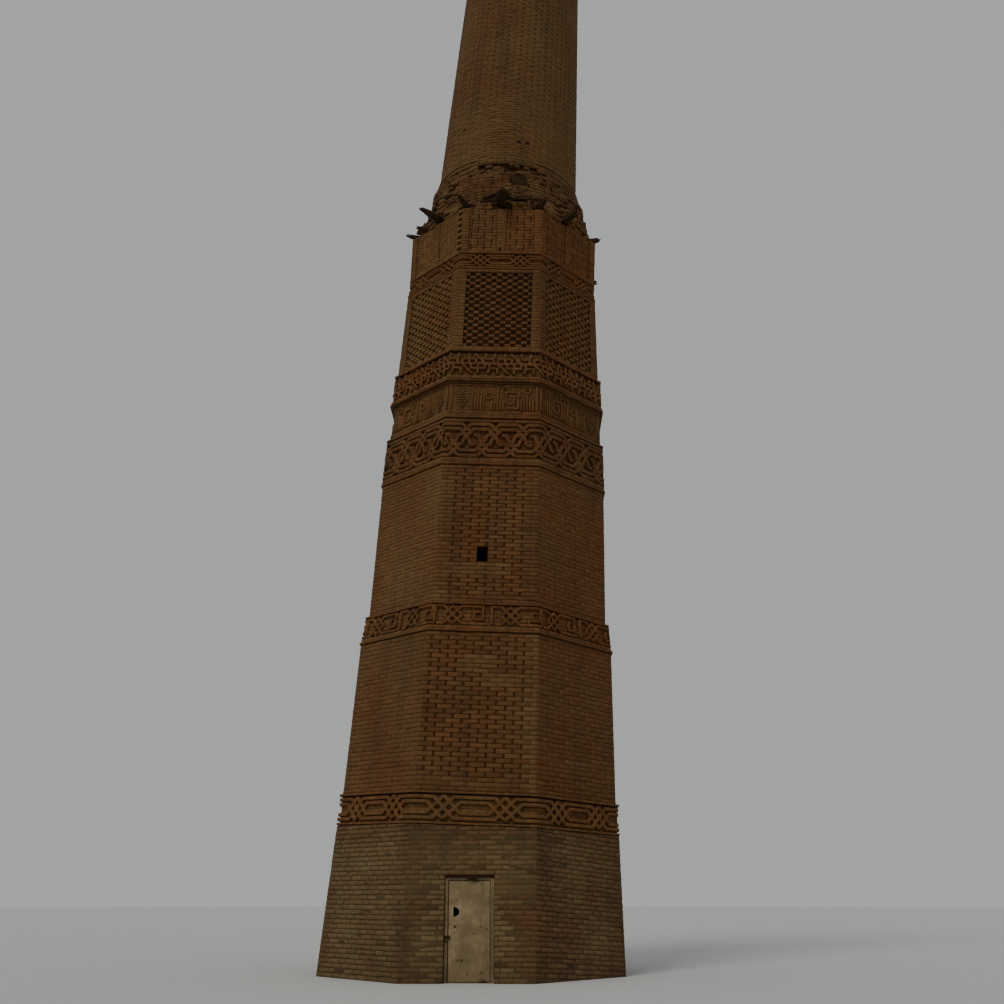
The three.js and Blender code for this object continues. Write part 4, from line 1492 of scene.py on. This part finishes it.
def door_trim():
    # The dark and faint notes paint shadow, deep and lighter, on the frame's gaps and rebates
    plain, dark, faint_shadow = (0.5, 0.0, 0.0), (0.3, 0.0, 0.62), (0.5, 0.8, 0.0)
    left, right, head = DOOR["left"], DOOR["right"], DOOR["head"]
    inner_left, inner_right, inner_head = left + 0.070, right - 0.070, head - 0.088
    outer_left, outer_right, outer_head = left + 0.004, right - 0.004, head - 0.006
    strips(41, "door_frame_beads", [
        (outer_left, outer_left + 0.007, 0.002, outer_head, plain),
        (outer_right - 0.007, outer_right, 0.002, outer_head, plain),
        (outer_left + 0.009, outer_right - 0.009, outer_head - 0.007, outer_head, plain),
        (inner_left - 0.008, inner_left, 0.002, inner_head + 0.008, plain),
        *beside_hinges(inner_right, inner_right + 0.008, 0.002, inner_head + 0.008, plain),
        (inner_left + 0.002, inner_right - 0.002, inner_head, inner_head + 0.008, plain),
    ], FRAME_FRONT - 0.0005, FRAME_FRONT + 0.004, 0.0012, FRAME_PAINT)
    # Painted shadow: strips along the gaps between frame and masonry, in the frame's rebates and under the
    # lintel
    strips(43, "door_frame_painted_shadow", [
        (left - 0.006, left + 0.010, 0.0, head - 0.052, dark),
        (right - 0.008, right + 0.006, 0.0, head - 0.052, faint_shadow),
        (left, right, head - 0.052, head + 0.006, dark),
        (inner_left - 0.008, inner_left + 0.002, 0.002, inner_head, dark),
        *beside_hinges(inner_right - 0.002, inner_right + 0.006, 0.002, inner_head, faint_shadow),
        (inner_left, inner_right, inner_head - 0.002, inner_head + 0.010, dark),
    ], FRAME_FRONT, FRAME_FRONT + 0.005, 0.001, JOINTS)
    edge = 0.012
    foot, head = LEAF["foot"] + 0.004, LEAF["head"] - 0.004
    left, right = LEAF["left"] + 0.002, LEAF["right"] - 0.052
    strips(42, "door_leaf_folds", [
        (left, left + edge, foot, head, plain),
        (right - edge, right, foot, head, plain),
        (LEAF["right"] - 0.105, LEAF["right"] - 0.098, foot, LEAF["head"] - 0.02, plain),
        (left + edge + 0.002, right - edge - 0.002, foot, foot + edge, plain),
        (left + edge + 0.002, right - edge - 0.002, head - edge, head, plain),
    ], LEAF_FRONT - 0.0005, LEAF_FRONT + 0.0025, 0.0012, PAINT, "door")


door_trim()

# Camera
CAMERA_AT = Vector((1.0145, -22.17, 1.426))
PITCH = math.radians(20.84)
HEADING = -0.0208

# The lens' focal length and the picture's width, both in pixels
FOCAL, PICTURE = 1030.7, 1004

camera_data = bpy.data.cameras.new("camera")
camera_data.sensor_width = 36.0
camera_data.lens = camera_data.sensor_width * FOCAL / PICTURE
camera_data.clip_end = 500
camera = placed("camera", camera_data)
level = math.cos(PITCH)
forward = Vector((HEADING * level, math.sqrt(1 - HEADING ** 2) * level, math.sin(PITCH)))
camera.location = CAMERA_AT
camera.rotation_euler = forward.to_track_quat("-Z", "Y").to_euler()
bpy.context.scene.camera = camera

# Studio: a pale floor and sky, and a broad soft light from the upper left
FLOOR_RADIUS = 120
floor_mesh = bpy.data.meshes.new("studio_floor")
ring = [polar(FLOOR_RADIUS, angle, 0.0) for angle in np.linspace(0, 2 * math.pi, 64, endpoint=False)]
floor_mesh.from_pydata(ring, [], [list(range(len(ring)))])
floor_mesh.materials.append(stage_floor())
floor = placed("studio_floor", floor_mesh)

world = bpy.data.worlds.new("studio")
bpy.context.scene.world = world
world.use_nodes = True
world.node_tree.nodes["Background"].inputs["Color"].default_value = (0.425, 0.44, 0.435, 1.0)
world.node_tree.nodes["Background"].inputs["Strength"].default_value = 1.0

sun_data = bpy.data.lights.new("key", "SUN")
sun_data.energy = 1.0
sun_data.angle = math.radians(22)
sun_data.color = (1.0, 0.97, 0.93)
sun = placed("key", sun_data)
sun.rotation_euler = Vector((-0.5, -0.866, 1.0)).to_track_quat("Z", "Y").to_euler()
